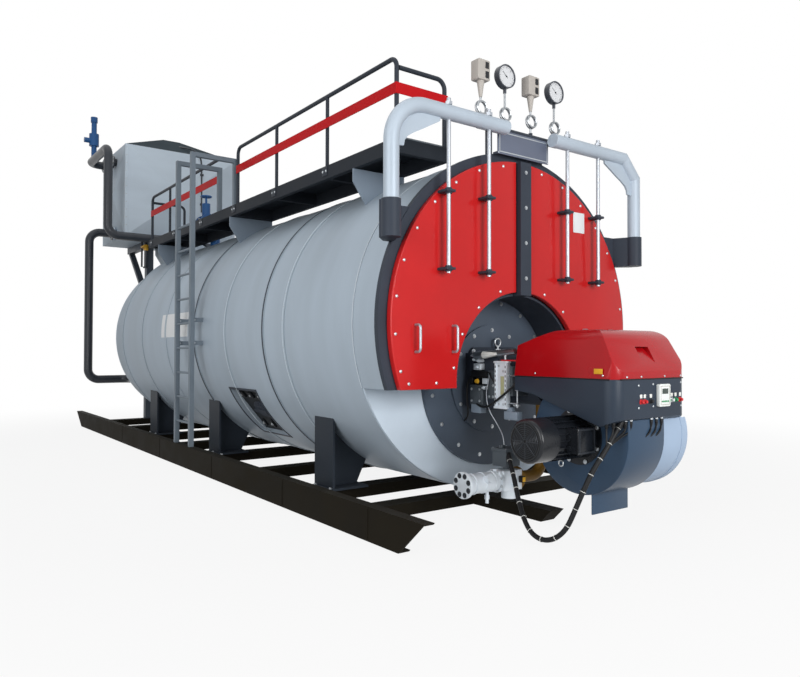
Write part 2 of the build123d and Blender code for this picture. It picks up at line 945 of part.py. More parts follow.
# Flat strips at knee height along the outside of the railings
strip_low = deck_top + rail_strip_rise
strip_x = rail_x - rail_radius - rail_strip_plate
strip_y = rail_front - rail_radius - rail_strip_plate
with BuildPart() as rail_strips:
    for start, end in ((strip_y, rail_gap_front), (rear_rail_front, rear_rail_back)):
        block(
            strip_x, strip_x + rail_strip_plate, start, end, strip_low, strip_low + rail_strip_height
        )
    block(
        strip_x + rail_strip_plate + seat, -deck_inner - rail_inset + rail_radius,
        strip_y, strip_y + rail_strip_plate, strip_low, strip_low + rail_strip_height,
    )
rail_strips.part.label = "rail_strips"
export_step(rail_strips.part, "parts/rail_strips.step")

# Ladder: square stiles on the skid rail, round rungs, and square hoops over to the deck
ladder_x = -(skid_outer - skid_width / 2)
hoop_z = deck_top + hoop_rise
with BuildPart() as ladder:
    for row in hoop_rows:
        block(
            ladder_x - ladder_bar / 2, ladder_x + ladder_bar / 2,
            row - ladder_bar / 2, row + ladder_bar / 2, skid_height, hoop_z,
        )
    rungs = int((deck_top - skid_height - rung_first) // rung_spacing) + 1
    for step in range(rungs):
        rung_z = skid_height + rung_first + step * rung_spacing
        lying_cylinder(rung_radius, hoop_rows[0], hoop_rows[1], ladder_x, rung_z)
ladder.part.label = "ladder"
export_step(ladder.part, "parts/ladder.step")

with BuildPart() as ladder_hoops:
    for row in hoop_rows:
        block(
            ladder_x - ladder_bar / 2, rail_x + ladder_bar / 2,
            row - ladder_bar / 2, row + ladder_bar / 2, hoop_z, hoop_z + ladder_bar,
        )
        block(
            rail_x - ladder_bar / 2, rail_x + ladder_bar / 2,
            row - ladder_bar / 2, row + ladder_bar / 2, deck_top, hoop_z,
        )
ladder_hoops.part.label = "ladder_hoops"
export_step(ladder_hoops.part, "parts/ladder_hoops.step")

# Rear smokebox: a drum welded to the rear tube plate
with BuildPart() as rear_smokebox:
    lying_cylinder(shell_radius - end_plate_inset, shell_rear, rear_plate_y)
    lying_cylinder(rear_radius, rear_plate_y, rear_end)
    lying_cylinder(rear_radius - rear_wall, rear_plate_y, rear_end, mode=Mode.SUBTRACT)
rear_smokebox.part.label = "rear_smokebox"
export_step(rear_smokebox.part, "parts/rear_smokebox.step")

# Rear cover with a raised round inspection door
with BuildPart() as rear_cover:
    lying_cylinder(rear_radius, rear_end, cover_end)
    with BuildSketch(Plane(origin=(0, cover_end, axis_height), x_dir=(1, 0, 0), z_dir=(0, 1, 0))):
        Circle(cover_rim)
    extrude(amount=cover_step)
rear_cover.part.label = "rear_cover"
export_step(rear_cover.part, "parts/rear_cover.step")

# Slanting flue from the top of the rear smokebox to the underside of the economizer
flue_front = rear_plate_y + rear_wall
sill_z = axis_height + rear_radius - flue_sill_drop
with BuildPart() as flue:
    with BuildSketch(side_view(0)):
        Polygon(
            (flue_front, axis_height + rear_radius - flue_shoulder_drop),
            (flue_front, axis_height + rear_radius + rear_wall),
            (econo_front + rear_wall, econo_bottom),
            (econo_front + flue_mouth, econo_bottom),
            (econo_front + flue_mouth, econo_bottom - flue_lip),
            (cover_end, sill_z),
            (rear_end, sill_z),
            align=None,
        )
    extrude(amount=flue_half, both=True)
    lying_cylinder(rear_radius + seat, shell_front, cover_end, mode=Mode.SUBTRACT)
flue.part.label = "flue"
export_step(flue.part, "parts/flue.step")

# Economizer casing: four cross-broken sides, the water nozzles and the flue collar behind
econo_mid = (econo_front + econo_back) / 2
econo_middle_z = (econo_bottom + econo_top) / 2
econo_half = econo_width / 2
outlet_z = econo_top - outlet_drop
feed_z = econo_bottom + feed_rise
nozzle_y = econo_front + nozzle_row
outlet_y = econo_front + outlet_row
nozzle_end = -econo_half - nozzle_length
with BuildPart() as economizer:
    block(-econo_half, econo_half, econo_front, econo_back, econo_bottom, econo_top)
    for side in (-1, 1):
        end_face = Plane(
            origin=(side * econo_half, econo_mid, econo_middle_z), x_dir=(0, 1, 0), z_dir=(side, 0, 0)
        )
        with BuildSketch(end_face):
            Rectangle(econo_length, econo_height)
        with BuildSketch(end_face.offset(crease)):
            Rectangle(crease_tip, crease_tip)
        loft()
        long_face = Plane(
            origin=(0, econo_mid + side * econo_length / 2, econo_middle_z),
            x_dir=(1, 0, 0), z_dir=(0, side, 0),
        )
        with BuildSketch(long_face):
            Rectangle(econo_width, econo_height)
        with BuildSketch(long_face.offset(crease)):
            Rectangle(crease_tip, crease_tip)
        loft()
    block(
        -econo_half + econo_wall, econo_half - econo_wall, econo_front + econo_wall, econo_back - econo_wall,
        econo_bottom + econo_wall, econo_top, mode=Mode.SUBTRACT,
    )
    for stub_y, stub_z in ((outlet_y, outlet_z), (nozzle_y, feed_z)):
        turned_cylinder(water_radius, nozzle_end, -econo_half, stub_y, stub_z)
        turned_cylinder(nozzle_flange, nozzle_end, nozzle_end + flange_plate, stub_y, stub_z)
    lying_cylinder(collar_radius, econo_back, econo_back + collar_length, 0, econo_middle_z)
    lying_cylinder(
        collar_radius - collar_wall, econo_back + crease, econo_back + collar_length, 0, econo_middle_z,
        mode=Mode.SUBTRACT,
    )
economizer.part.label = "economizer"
export_step(economizer.part, "parts/economizer.step")

# Economizer roof: a low hipped cap
with BuildPart() as economizer_roof:
    with BuildSketch(Plane(origin=(0, econo_mid, econo_top))):
        Rectangle(econo_width, econo_length)
    with BuildSketch(Plane(origin=(0, econo_mid, econo_top + roof_height))):
        Rectangle(roof_top, roof_top * econo_length / econo_width)
    loft()
economizer_roof.part.label = "economizer_roof"
export_step(economizer_roof.part, "parts/economizer_roof.step")

# Economizer stand: two columns on the last cross-beam, bearers and braces
bearer_low = econo_bottom - bearer_height
with BuildPart() as economizer_stand:
    for side in (-1, 1):
        column = side * stand_half
        block(
            column - stand_column / 2, column + stand_column / 2,
            stand_y - stand_column / 2, stand_y + stand_column / 2, beam_height, bearer_low,
        )
        block(
            column - bearer_width / 2, column + bearer_width / 2,
            econo_front, econo_back, bearer_low, econo_bottom,
        )
        with BuildSketch(side_view(column)):
            Polygon(
                (stand_y, bearer_low - brace_drop),
                (stand_y, bearer_low - brace_drop - brace_depth),
                (econo_back - brace_depth, bearer_low),
                (econo_back - 2 * brace_depth, bearer_low),
                align=None,
            )
        extrude(amount=bearer_width / 2, both=True)
    block(
        -stand_half, stand_half, stand_y - stand_column / 2, stand_y + stand_column / 2,
        bearer_low - tie_drop, bearer_low - tie_drop + stand_column,
    )
economizer_stand.part.label = "economizer_stand"
export_step(economizer_stand.part, "parts/economizer_stand.step")


def flanged_pipe(route, first_flange, last_flange):
    """Sweep the water pipe along a route and put a flange on the ends that have one.

    Each flange is given as the end's own plane, pointing along the pipe and away from the end.
    """
    with BuildSketch(start_plane(route)) as bore:
        Circle(water_radius)
    sweep(sections=bore.sketch, path=route.wire())
    for flange_face in (first_flange, last_flange):
        with BuildSketch(flange_face) as flange_disc:
            Circle(nozzle_flange)
        extrude(to_extrude=flange_disc.sketch, amount=flange_plate)


# Outlet pipe: from the economizer round and down, under the walkway end, to the stop valve
riser_x = -econo_half - riser_reach
riser_y = econo_front - riser_setback
run_z = econo_bottom - run_drop
run_x = -deck_inner + run_clearance
stop_y = shell_rear - valve_inset
with BuildPart() as outlet_pipe:
    with BuildLine() as outlet_route:
        FilletPolyline(
            (nozzle_end, outlet_y, outlet_z),
            (riser_x, outlet_y, outlet_z),
            (riser_x, riser_y, outlet_z),
            (riser_x, riser_y, run_z),
            (run_x, riser_y, run_z),
            (run_x, stop_y + valve_half, run_z),
            radius=elbow_radius,
        )
    flanged_pipe(
        outlet_route,
        Plane(origin=(nozzle_end, outlet_y, outlet_z), z_dir=(-1, 0, 0)),
        Plane(origin=(run_x, stop_y + valve_half, run_z), z_dir=(0, 1, 0)),
    )
outlet_pipe.part.label = "outlet_pipe"
export_step(outlet_pipe.part, "parts/outlet_pipe.step")

# Feed pipe: from the economizer down behind the boiler and in through the rear cover
feed_x = -econo_half - feed_reach
feed_low_z = axis_height - feed_low
with BuildPart() as feed_pipe:
    with BuildLine() as feed_route:
        FilletPolyline(
            (nozzle_end, nozzle_y, feed_z),
            (feed_x, nozzle_y, feed_z),
            (feed_x, nozzle_y, feed_low_z),
            (-feed_inset, nozzle_y, feed_low_z),
            (-feed_inset, cover_end, feed_low_z),
            radius=elbow_radius,
        )
    flanged_pipe(
        feed_route,
        Plane(origin=(nozzle_end, nozzle_y, feed_z), z_dir=(-1, 0, 0)),
        Plane(origin=(-feed_inset, cover_end, feed_low_z), z_dir=(0, 1, 0)),
    )
feed_pipe.part.label = "feed_pipe"
export_step(feed_pipe.part, "parts/feed_pipe.step")

# Stop valve: globe body between flanges, bonnet, handwheel and the dip pipe into the shell
dip_y = shell_rear - dip_inset
with BuildPart() as stop_valve:
    with Locations((run_x, stop_y, run_z)):
        Sphere(valve_ball)
    lying_cylinder(water_radius, stop_y - valve_half, stop_y + valve_half, run_x, run_z)
    lying_cylinder(
        nozzle_flange, stop_y + valve_half - flange_plate, stop_y + valve_half, run_x, run_z
    )
    lying_cylinder(nozzle_flange, stop_y - valve_half, stop_y - valve_half + flange_plate, run_x, run_z)
    standing_cylinder(valve_neck, run_z, run_z + bonnet_height, run_x, stop_y)
    standing_cylinder(valve_stem, run_z, run_z + valve_height, run_x, stop_y)
    with Locations((run_x, stop_y, run_z + valve_height)):
        Torus(wheel_radius, wheel_bar)
        Box(2 * wheel_radius, 2 * wheel_bar, wheel_bar)
        Box(2 * wheel_bar, 2 * wheel_radius, wheel_bar)
    with BuildLine() as dip_route:
        FilletPolyline(
            (run_x, stop_y - valve_half, run_z),
            (run_x, dip_y, run_z),
            (run_x, dip_y, axis_height + shell_radius - dip_sink),
            radius=dip_elbow,
        )
    with BuildSketch(start_plane(dip_route)):
        Circle(water_radius)
    sweep(path=dip_route.wire())
    clear_shell()
stop_valve.part.label = "stop_valve"
export_step(stop_valve.part, "parts/stop_valve.step")

# Safety valve on the outlet pipe: short neck, body, bonnet and side outlet
relief_y = outlet_y - relief_setback
relief_z = outlet_z + water_radius
with BuildPart() as safety_valve:
    standing_cylinder(relief_neck, outlet_z, relief_z + relief_rise, riser_x, relief_y)
    standing_cylinder(
        relief_body, relief_z + relief_rise, relief_z + relief_rise + relief_base,
        riser_x, relief_y,
    )
    standing_cylinder(
        relief_neck, relief_z + relief_rise, relief_z + relief_height + relief_rise, riser_x, relief_y
    )
    standing_cylinder(
        relief_cap, relief_z + relief_rise + relief_height - relief_cap_height,
        relief_z + relief_rise + relief_height, riser_x, relief_y,
    )
    turned_cylinder(
        relief_neck, riser_x - 2 * relief_body, riser_x,
        relief_y, relief_z + relief_rise + relief_outlet,
    )
    lying_cylinder(
        water_radius + seat, riser_y, outlet_y, riser_x, outlet_z, mode=Mode.SUBTRACT
    )
safety_valve.part.label = "safety_valve"
export_step(safety_valve.part, "parts/safety_valve.step")

# Burner head: square flange on the burner plate and the round neck to the housing
head_front = plate_y - flange_thickness - burner_plate_thickness - head_plate
housing_back = door_y - housing_rear
with BuildPart() as burner_head:
    with BuildSketch(across(head_front + head_plate, burner_z)):
        RectangleRounded(head_width, head_height, head_corner)
    extrude(amount=head_plate)
    lying_cylinder(neck_radius, housing_back, head_front, 0, burner_z)
burner_head.part.label = "burner_head"
export_step(burner_head.part, "parts/burner_head.step")

# Outline of the burner housing in side view, shared by what is mounted under it
housing_face = door_y - housing_front
housing_points = (
    (housing_back, housing_z),
    (housing_face, housing_z),
    (housing_face, housing_z - skirt_front),
    (housing_face + skirt_back, housing_z - skirt_low),
    (housing_back - skirt_knee, housing_z - skirt_rear - skirt_step),
    (housing_back, housing_z - skirt_rear),
)
with BuildPart() as burner_housing:
    with BuildSketch(side_view(0)):
        Polygon(*housing_points, align=None)
    extrude(amount=housing_half, both=True)
    front_corners = burner_housing.edges().filter_by(Axis.Z).group_by(Axis.Y)[0]
    fillet(front_corners, radius=housing_corner)
burner_housing.part.label = "burner_housing"
export_step(burner_housing.part, "parts/burner_housing.step")

# Burner hood: wedge nose behind, raked front, sides that lean in, and a scoop in the front
hood_length = housing_back - housing_face


def rake_at(height):
    """Place of the raked front of the hood at a height above its lower edge."""
    return housing_face + hood_slope * (height - hood_lip) / (hood_height - hood_lip)


with BuildPart() as burner_hood:
    with BuildSketch(side_view(0)) as hood_side:
        Polygon(
            (housing_back, housing_z),
            (housing_back, housing_z + hood_nose),
            (housing_back - hood_rise_length, housing_z + hood_height),
            (housing_face + hood_slope, housing_z + hood_height),
            (housing_face, housing_z + hood_lip),
            (housing_face, housing_z),
            align=None,
        )
        fillet(hood_side.vertices().group_by(Axis.Y)[-1], radius=hood_crown)
    extrude(amount=housing_half, both=True)
    with BuildSketch(across(housing_back, housing_z + hood_height / 2)) as hood_section:
        Trapezoid(2 * housing_half, hood_height, hood_lean)
        fillet(hood_section.vertices().group_by(Axis.Y)[-1], radius=hood_corner)
    extrude(amount=hood_length, mode=Mode.INTERSECT)
    with BuildSketch(Plane(origin=(0, housing_back - hood_length / 2, housing_z))) as hood_plan:
        Rectangle(2 * housing_half, hood_length)
        fillet(hood_plan.vertices().group_by(Axis.Y)[0], radius=housing_corner)
    extrude(amount=hood_height, mode=Mode.INTERSECT)
    with BuildSketch(side_view(0)):
        Polygon(
            (housing_face, housing_z + scoop_low),
            (rake_at(scoop_low), housing_z + scoop_low),
            (rake_at(scoop_high) + scoop_depth, housing_z + scoop_high),
            (housing_face, housing_z + scoop_high),
            align=None,
        )
    extrude(amount=scoop_width / 2, both=True, mode=Mode.SUBTRACT)
burner_hood.part.label = "burner_hood"
export_step(burner_hood.part, "parts/burner_hood.step")

# Fan scroll under the housing, with its foot bracket
with BuildPart() as fan_scroll:
    with BuildSketch(side_view(-fan_left)):
        with Locations((fan_y, fan_z)):
            Circle(fan_radius)
        with Locations((fan_y - fan_radius / 2, fan_z + fan_radius / 2)):
            Rectangle(fan_radius, fan_radius)
        Polygon(*housing_points, align=None, mode=Mode.SUBTRACT)
        with Locations((fan_y, housing_z + fan_radius / 2)):
            Rectangle(4 * fan_radius, fan_radius, mode=Mode.SUBTRACT)
        with Locations((housing_face - fan_radius / 2, fan_z + fan_radius)):
            Rectangle(fan_radius, 2 * fan_radius, mode=Mode.SUBTRACT)
    extrude(amount=fan_left + fan_right)
    block(
        -fan_left, fan_right, fan_y - foot_depth, fan_y - foot_depth + foot_sheet,
        fan_z - fan_radius - foot_drop, fan_z - fan_radius + foot_overlap,
    )
fan_scroll.part.label = "fan_scroll"
export_step(fan_scroll.part, "parts/fan_scroll.step")

# Air intake: the drum on the right of the scroll
with BuildPart() as air_intake:
    with BuildSketch(side_view(fan_right)):
        with Locations((fan_y, fan_z)):
            Circle(intake_radius)
        Polygon(*housing_points, align=None, mode=Mode.SUBTRACT)
        with Locations((fan_y, housing_z + fan_radius / 2)):
            Rectangle(4 * fan_radius, fan_radius, mode=Mode.SUBTRACT)
    extrude(amount=intake_length)
    fillet(air_intake.faces().sort_by(Axis.X)[-1].edges().filter_by(GeomType.CIRCLE), radius=fan_rim)
air_intake.part.label = "air_intake"
export_step(air_intake.part, "parts/air_intake.step")

# Fan motor: flange, finned body, cowl and terminal box
motor_end = -fan_left - motor_length
with BuildPart() as fan_motor:
    turned_cylinder(motor_radius, motor_end, -fan_left, fan_y, fan_z)
    turned_cylinder(motor_flange, -fan_left - flange_plate, -fan_left, fan_y, fan_z)
    turned_cylinder(cowl_radius, motor_end - cowl_length, motor_end, fan_y, fan_z)
    fillet(fan_motor.faces().sort_by(Axis.X)[0].edges(), radius=fan_rim)
    with BuildSketch(side_view(motor_end)):
        with Locations((fan_y, fan_z)):
            with PolarLocations(motor_radius, fin_count):
                Rectangle(2 * fin_height, fin_plate)
    extrude(amount=motor_length - flange_plate)
    block(
        motor_end + motor_length / 4, motor_end + motor_length / 4 + terminal_size,
        fan_y - motor_radius - terminal_depth, fan_y - motor_radius / 2,
        fan_z - terminal_size / 2, fan_z + terminal_size / 2,
    )
fan_motor.part.label = "fan_motor"
export_step(fan_motor.part, "parts/fan_motor.step")

# Control display on the front of the housing
with BuildPart() as control_display:
    with BuildSketch(across(housing_face, housing_z - skirt_front / 2 + display_rise)):
        with Locations((display_offset, 0)):
            RectangleRounded(display_width, display_height, display_corner)
    extrude(amount=display_depth)
control_display.part.label = "control_display"
export_step(control_display.part, "parts/control_display.step")

# Damper servo clamped to the left of the neck
servo_front = housing_back + servo_length / 2
with BuildPart() as damper_servo:
    block(
        -neck_radius - servo_width, -neck_radius + servo_wrap,
        servo_front, servo_front + servo_length,
        burner_z - servo_height / 2, burner_z + servo_height / 2,
    )
    lying_cylinder(
        neck_radius + seat, servo_front, servo_front + servo_length, 0, burner_z, mode=Mode.SUBTRACT
    )
damper_servo.part.label = "damper_servo"
export_step(damper_servo.part, "parts/damper_servo.step")

# Gas valve train: inlet flange, strainer, valve body and regulator cap
strainer_start = -gas_inlet + gas_flange_plate
body_start = strainer_start + strainer_length
body_end = body_start + gas_body
with BuildPart() as gas_valve:
    turned_cylinder(gas_flange, -gas_inlet, strainer_start, gas_y, gas_z)
    turned_cylinder(strainer_radius, strainer_start, body_start, gas_y, gas_z)
    turned_cylinder(gas_joint, body_start - gas_flange_plate, body_start, gas_y, gas_z)
    block(
        body_start, body_end, gas_y - gas_body_size / 2, gas_y + gas_body_size / 2,
        gas_z - gas_body_size / 2, gas_z + gas_body_size / 2,
    )
    standing_cylinder(
        regulator_radius, gas_z - gas_body_size / 2 - regulator_drop, gas_z,
        body_end - regulator_radius, gas_y,
    )
gas_valve.part.label = "gas_valve"
export_step(gas_valve.part, "parts/gas_valve.step")

# Actuator on top of the gas valve
actuator_low = gas_z + gas_body_size / 2
actuator_x = body_start + gas_body / 2
with BuildPart() as gas_actuator:
    standing_cylinder(
        gas_pipe / 2, actuator_low, actuator_low + actuator_rise, actuator_x, gas_y
    )
    block(
        actuator_x - actuator_width / 2, actuator_x + actuator_width / 2,
        gas_y - actuator_width / 2, gas_y + actuator_width / 2,
        actuator_low + actuator_rise, actuator_low + actuator_rise + actuator_height,
    )
gas_actuator.part.label = "gas_actuator"
export_step(gas_actuator.part, "parts/gas_actuator.step")

# Gas pipe from the valve to the underside of the burner neck
with BuildPart() as gas_line:
    with BuildLine() as gas_route:
        FilletPolyline(
            (body_end, gas_y, gas_z), (0, gas_y, gas_z), (0, gas_y, burner_z - neck_radius / 2),
            radius=gas_elbow,
        )
    with BuildSketch(start_plane(gas_route)):
        Circle(gas_pipe)
    sweep(path=gas_route.wire())
    turned_cylinder(gas_joint, body_end, body_end + gas_flange_plate, gas_y, gas_z)
    lying_cylinder(neck_radius + seat, housing_back, head_front, 0, burner_z, mode=Mode.SUBTRACT)
gas_line.part.label = "gas_line"
export_step(gas_line.part, "parts/gas_line.step")

# Cable loom: hangs in a loop from the gland under the housing to the gas actuator
loom_offsets = [
    (-312, -1160, -328),
    (-404, -1138, -329),
    (-508, -1110, -323),
    (-574, -1080, -332),
    (-618, -1044, -335),
    (-648, -1016, -292),
    (-667, -978, -217),
    (-679, -927, -257),
    (-685, -865, -280),
    (-684, -799, -284),
    (-677, -735, -269),
    (-663, -673, -235),
    (-632, -598, -174),
    (-578, -500, -75),
    (-512, -395, 52),
    (-462, -300, 160),
]
loom_points = []
for place, (x, y, z) in enumerate(loom_offsets):
    share = max(0, 1 - place / loom_upper_steps)
    loom_points.append((x, door_y + y, gas_z + share * (housing_z - gas_z) + z))
steps = [Vector(*b) - Vector(*a) for a, b in zip(loom_points, loom_points[1:])]
loom_radii = [
    0.45 * min(a.length, b.length) / tan(radians(a.get_angle(b)) / 2) for a, b in zip(steps, steps[1:])
]
print("loom radii", [round(radius) for radius in loom_radii])
with BuildPart() as cable_loom:
    with BuildLine() as loom_route:
        FilletPolyline(*loom_points, radius=loom_radii)
    with BuildSketch(start_plane(loom_route)):
        Circle(cable_radius)
    sweep(path=loom_route.wire())
print("loom length", round(loom_route.wire().length), "volume", round(cable_loom.part.volume))
cable_loom.part.label = "cable_loom"
export_step(cable_loom.part, "parts/cable_loom.step")

# Cable glands at both ends of the loom, on the housing and on the gas actuator
loom_wire = loom_route.wire()
with BuildPart() as cable_glands:
    with BuildSketch(Plane(origin=loom_wire @ 0, z_dir=-(loom_wire % 0))):
        Circle(gland_radius)
    extrude(amount=gland_length)
    with BuildSketch(Plane(origin=loom_wire @ 1, z_dir=loom_wire % 1)):
        Circle(gland_radius)
    extrude(amount=gland_length)
    with BuildSketch(side_view(0)):
        Polygon(*housing_points, align=None)
    extrude(amount=housing_half, both=True, mode=Mode.SUBTRACT)
    block(
        actuator_x - actuator_width / 2, actuator_x + actuator_width / 2,
        gas_y - actuator_width / 2, gas_y + actuator_width / 2,
        actuator_low, actuator_low + actuator_rise + actuator_height, mode=Mode.SUBTRACT,
    )
cable_glands.part.label = "cable_glands"
export_step(cable_glands.part, "parts/cable_glands.step")
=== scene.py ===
"""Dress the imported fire-tube boiler with finishes and fittings, and set it in a plain studio."""

import json
import logging
import math
from abc import ABC, abstractmethod
from dataclasses import dataclass
from enum import Enum
from itertools import chain, product
from typing import Iterable, Sequence

import bmesh
import bpy
from mathutils import Matrix, Vector

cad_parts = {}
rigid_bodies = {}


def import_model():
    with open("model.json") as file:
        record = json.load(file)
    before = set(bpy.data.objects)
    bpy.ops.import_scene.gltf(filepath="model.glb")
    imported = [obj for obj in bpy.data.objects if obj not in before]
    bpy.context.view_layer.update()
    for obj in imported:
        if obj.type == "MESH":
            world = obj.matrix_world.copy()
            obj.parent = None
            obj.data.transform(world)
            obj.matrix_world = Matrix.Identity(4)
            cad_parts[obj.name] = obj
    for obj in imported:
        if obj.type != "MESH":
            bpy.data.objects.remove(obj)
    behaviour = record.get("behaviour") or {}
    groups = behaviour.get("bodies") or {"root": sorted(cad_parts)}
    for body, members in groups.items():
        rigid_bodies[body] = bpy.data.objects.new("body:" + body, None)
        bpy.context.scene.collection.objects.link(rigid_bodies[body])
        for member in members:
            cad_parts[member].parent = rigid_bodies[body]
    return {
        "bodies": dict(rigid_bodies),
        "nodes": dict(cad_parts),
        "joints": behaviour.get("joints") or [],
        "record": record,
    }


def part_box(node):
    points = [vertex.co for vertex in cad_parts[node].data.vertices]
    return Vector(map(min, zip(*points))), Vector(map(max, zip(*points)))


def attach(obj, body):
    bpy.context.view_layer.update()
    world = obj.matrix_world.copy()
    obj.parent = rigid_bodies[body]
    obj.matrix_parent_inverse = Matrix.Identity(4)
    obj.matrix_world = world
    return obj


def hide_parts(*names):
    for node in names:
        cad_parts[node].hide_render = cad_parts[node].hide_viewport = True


LOG = logging.getLogger("boiler")
Point = tuple[float, float, float]
Colour = tuple[float, float, float]
Pair = tuple[float, float]
Socket = bpy.types.NodeSocket
Inputs = dict[str | int, object]

# Main places in metres: the shell's axis and radius, the doors' face and the furnace's axis.
AXIS_Z = 1.53
SHELL_R = 1.4
DOOR_Y = -3.87
FURNACE_Z = 1.08
# Bodies, the two sides, and the ways that faces look.
ROOT, LEFT, RIGHT = "root", "left_door", "right_door"
SIDES = (-1, 1)
FRONT, BACK = (0.0, -1.0, 0.0), (0.0, 1.0, 0.0)
WEST, EAST = (-1.0, 0.0, 0.0), (1.0, 0.0, 0.0)
UP = (0.0, 0.0, 1.0)
# Bolt circles in degrees: a whole one, and one with its first bolt off the axis.
FULL_TURN = (0.0, 360.0)
OFF_AXIS = (22.5, 382.5)

# Finishes: the part of a noise that is used, its detail, roughness and dust.
NOISE_MIDDLE = (0.32, 0.68)
CLOUD_DETAIL, GRAIN_DETAIL = 5.0, 3.0
ROUGH_PLAY, LEAST_ROUGH, COAT_ROUGH = 0.06, 0.02, 0.08
DUST_CODE, DUST_TILT, DUST_PATCHES = "b9bab6", (0.45, 1.0), (0.3, 1.0)

# Bolts: shares of the head's radius or height.
BOLT_HEIGHT, BOLT_WASHER = 0.7, 1.45
BOLT_CROWN, BOLT_CAP, WASHER_FLAT = 0.8, 0.25, 0.3
# Head radii of bolts by their thread, and of studs, screws and rivets.
M6, M8, M10, M12, M14, M16, STUD = 0.007, 0.008, 0.009, 0.011, 0.013, 0.014, 0.012
SCREW, SMALL_SCREW, RIVET, SHEET_RIVET, PIN = 0.008, 0.006, 0.006, 0.008, 0.004
# Angles in degrees: edges that shade sharp, edges that are rounded and faces that are joined.
PIECE_CREASE, SOFT_CREASE = 32.0, 24.0
ROUNDED_EDGE, FLAT_JOIN = 28.0, 0.6


def hexed(code: str) -> Colour:
    """Turn a six-digit display colour into linear light.

    Args:
        code: Red, green and blue as hexadecimal digits.

    Returns:
        The colour in linear values from 0 to 1.
    """
    shares = [int(code[k:k + 2], 16) / 255 for k in (0, 2, 4)]
    return tuple(s / 12.92 if s <= 0.04045 else ((s + 0.055) / 1.055) ** 2.4 for s in shares)


class Graph:
    """Adds nodes to a node tree."""

    def __init__(self, tree: bpy.types.NodeTree) -> None:
        """Work on the given tree."""
        self.tree = tree

    def feed(self, node: bpy.types.Node, inputs: Inputs) -> None:
        """Link or set the inputs of a node.

        Args:
            node: The node.
            inputs: Input name or number to a socket to link, or to a value.
        """
        for key, value in inputs.items():
            if isinstance(value, Socket):
                self.tree.links.new(value, node.inputs[key])
            else:
                node.inputs[key].default_value = value

    def node(self, kind: str, inputs: Inputs | None = None, **settings: object) -> bpy.types.Node:
        """Add a node.

        Args:
            kind: The node's type.
            inputs: What goes into it.
            settings: Node properties.

        Returns:
            The node.
        """
        made = self.tree.nodes.new(kind)
        for key, value in settings.items():
            setattr(made, key, value)
        self.feed(made, inputs or {})
        return made

    def calc(self, operation: str, first: object, second: object) -> Socket:
        """Add a maths node and give back its result."""
        return self.node("ShaderNodeMath", {0: first, 1: second}, operation=operation).outputs[0]

    def blend(self, share: Socket, first: object, second: object) -> Socket:
        """Mix two colours and give back the result."""
        return self.node("ShaderNodeMix", {0: share, 6: first, 7: second}, data_type="RGBA").outputs[2]

    def spread(self, value: Socket, source: Pair, target: Pair, **settings: object) -> Socket:
        """Map a value from the source range to the target range and give back the result."""
        ends = {"From Min": source[0], "From Max": source[1], "To Min": target[0], "To Max": target[1]}
        return self.node("ShaderNodeMapRange", {"Value": value, **ends}, **settings).outputs["Result"]

    def noise(self, place: Socket, scale: float, detail: float) -> Socket:
        """Add a noise texture on the given coordinates and give back its value."""
        inputs = {"Vector": place, "Scale": scale, "Detail": detail}
        return self.node("ShaderNodeTexNoise", inputs).outputs["Fac"]


class Coat(Enum):
    """How a finish is laid on its metal: depth of the grain, and whether it runs with the sheet."""

    PAINT = (0.002, False)
    SHEET = (0.002, True)
    CAST = (0.004, False)


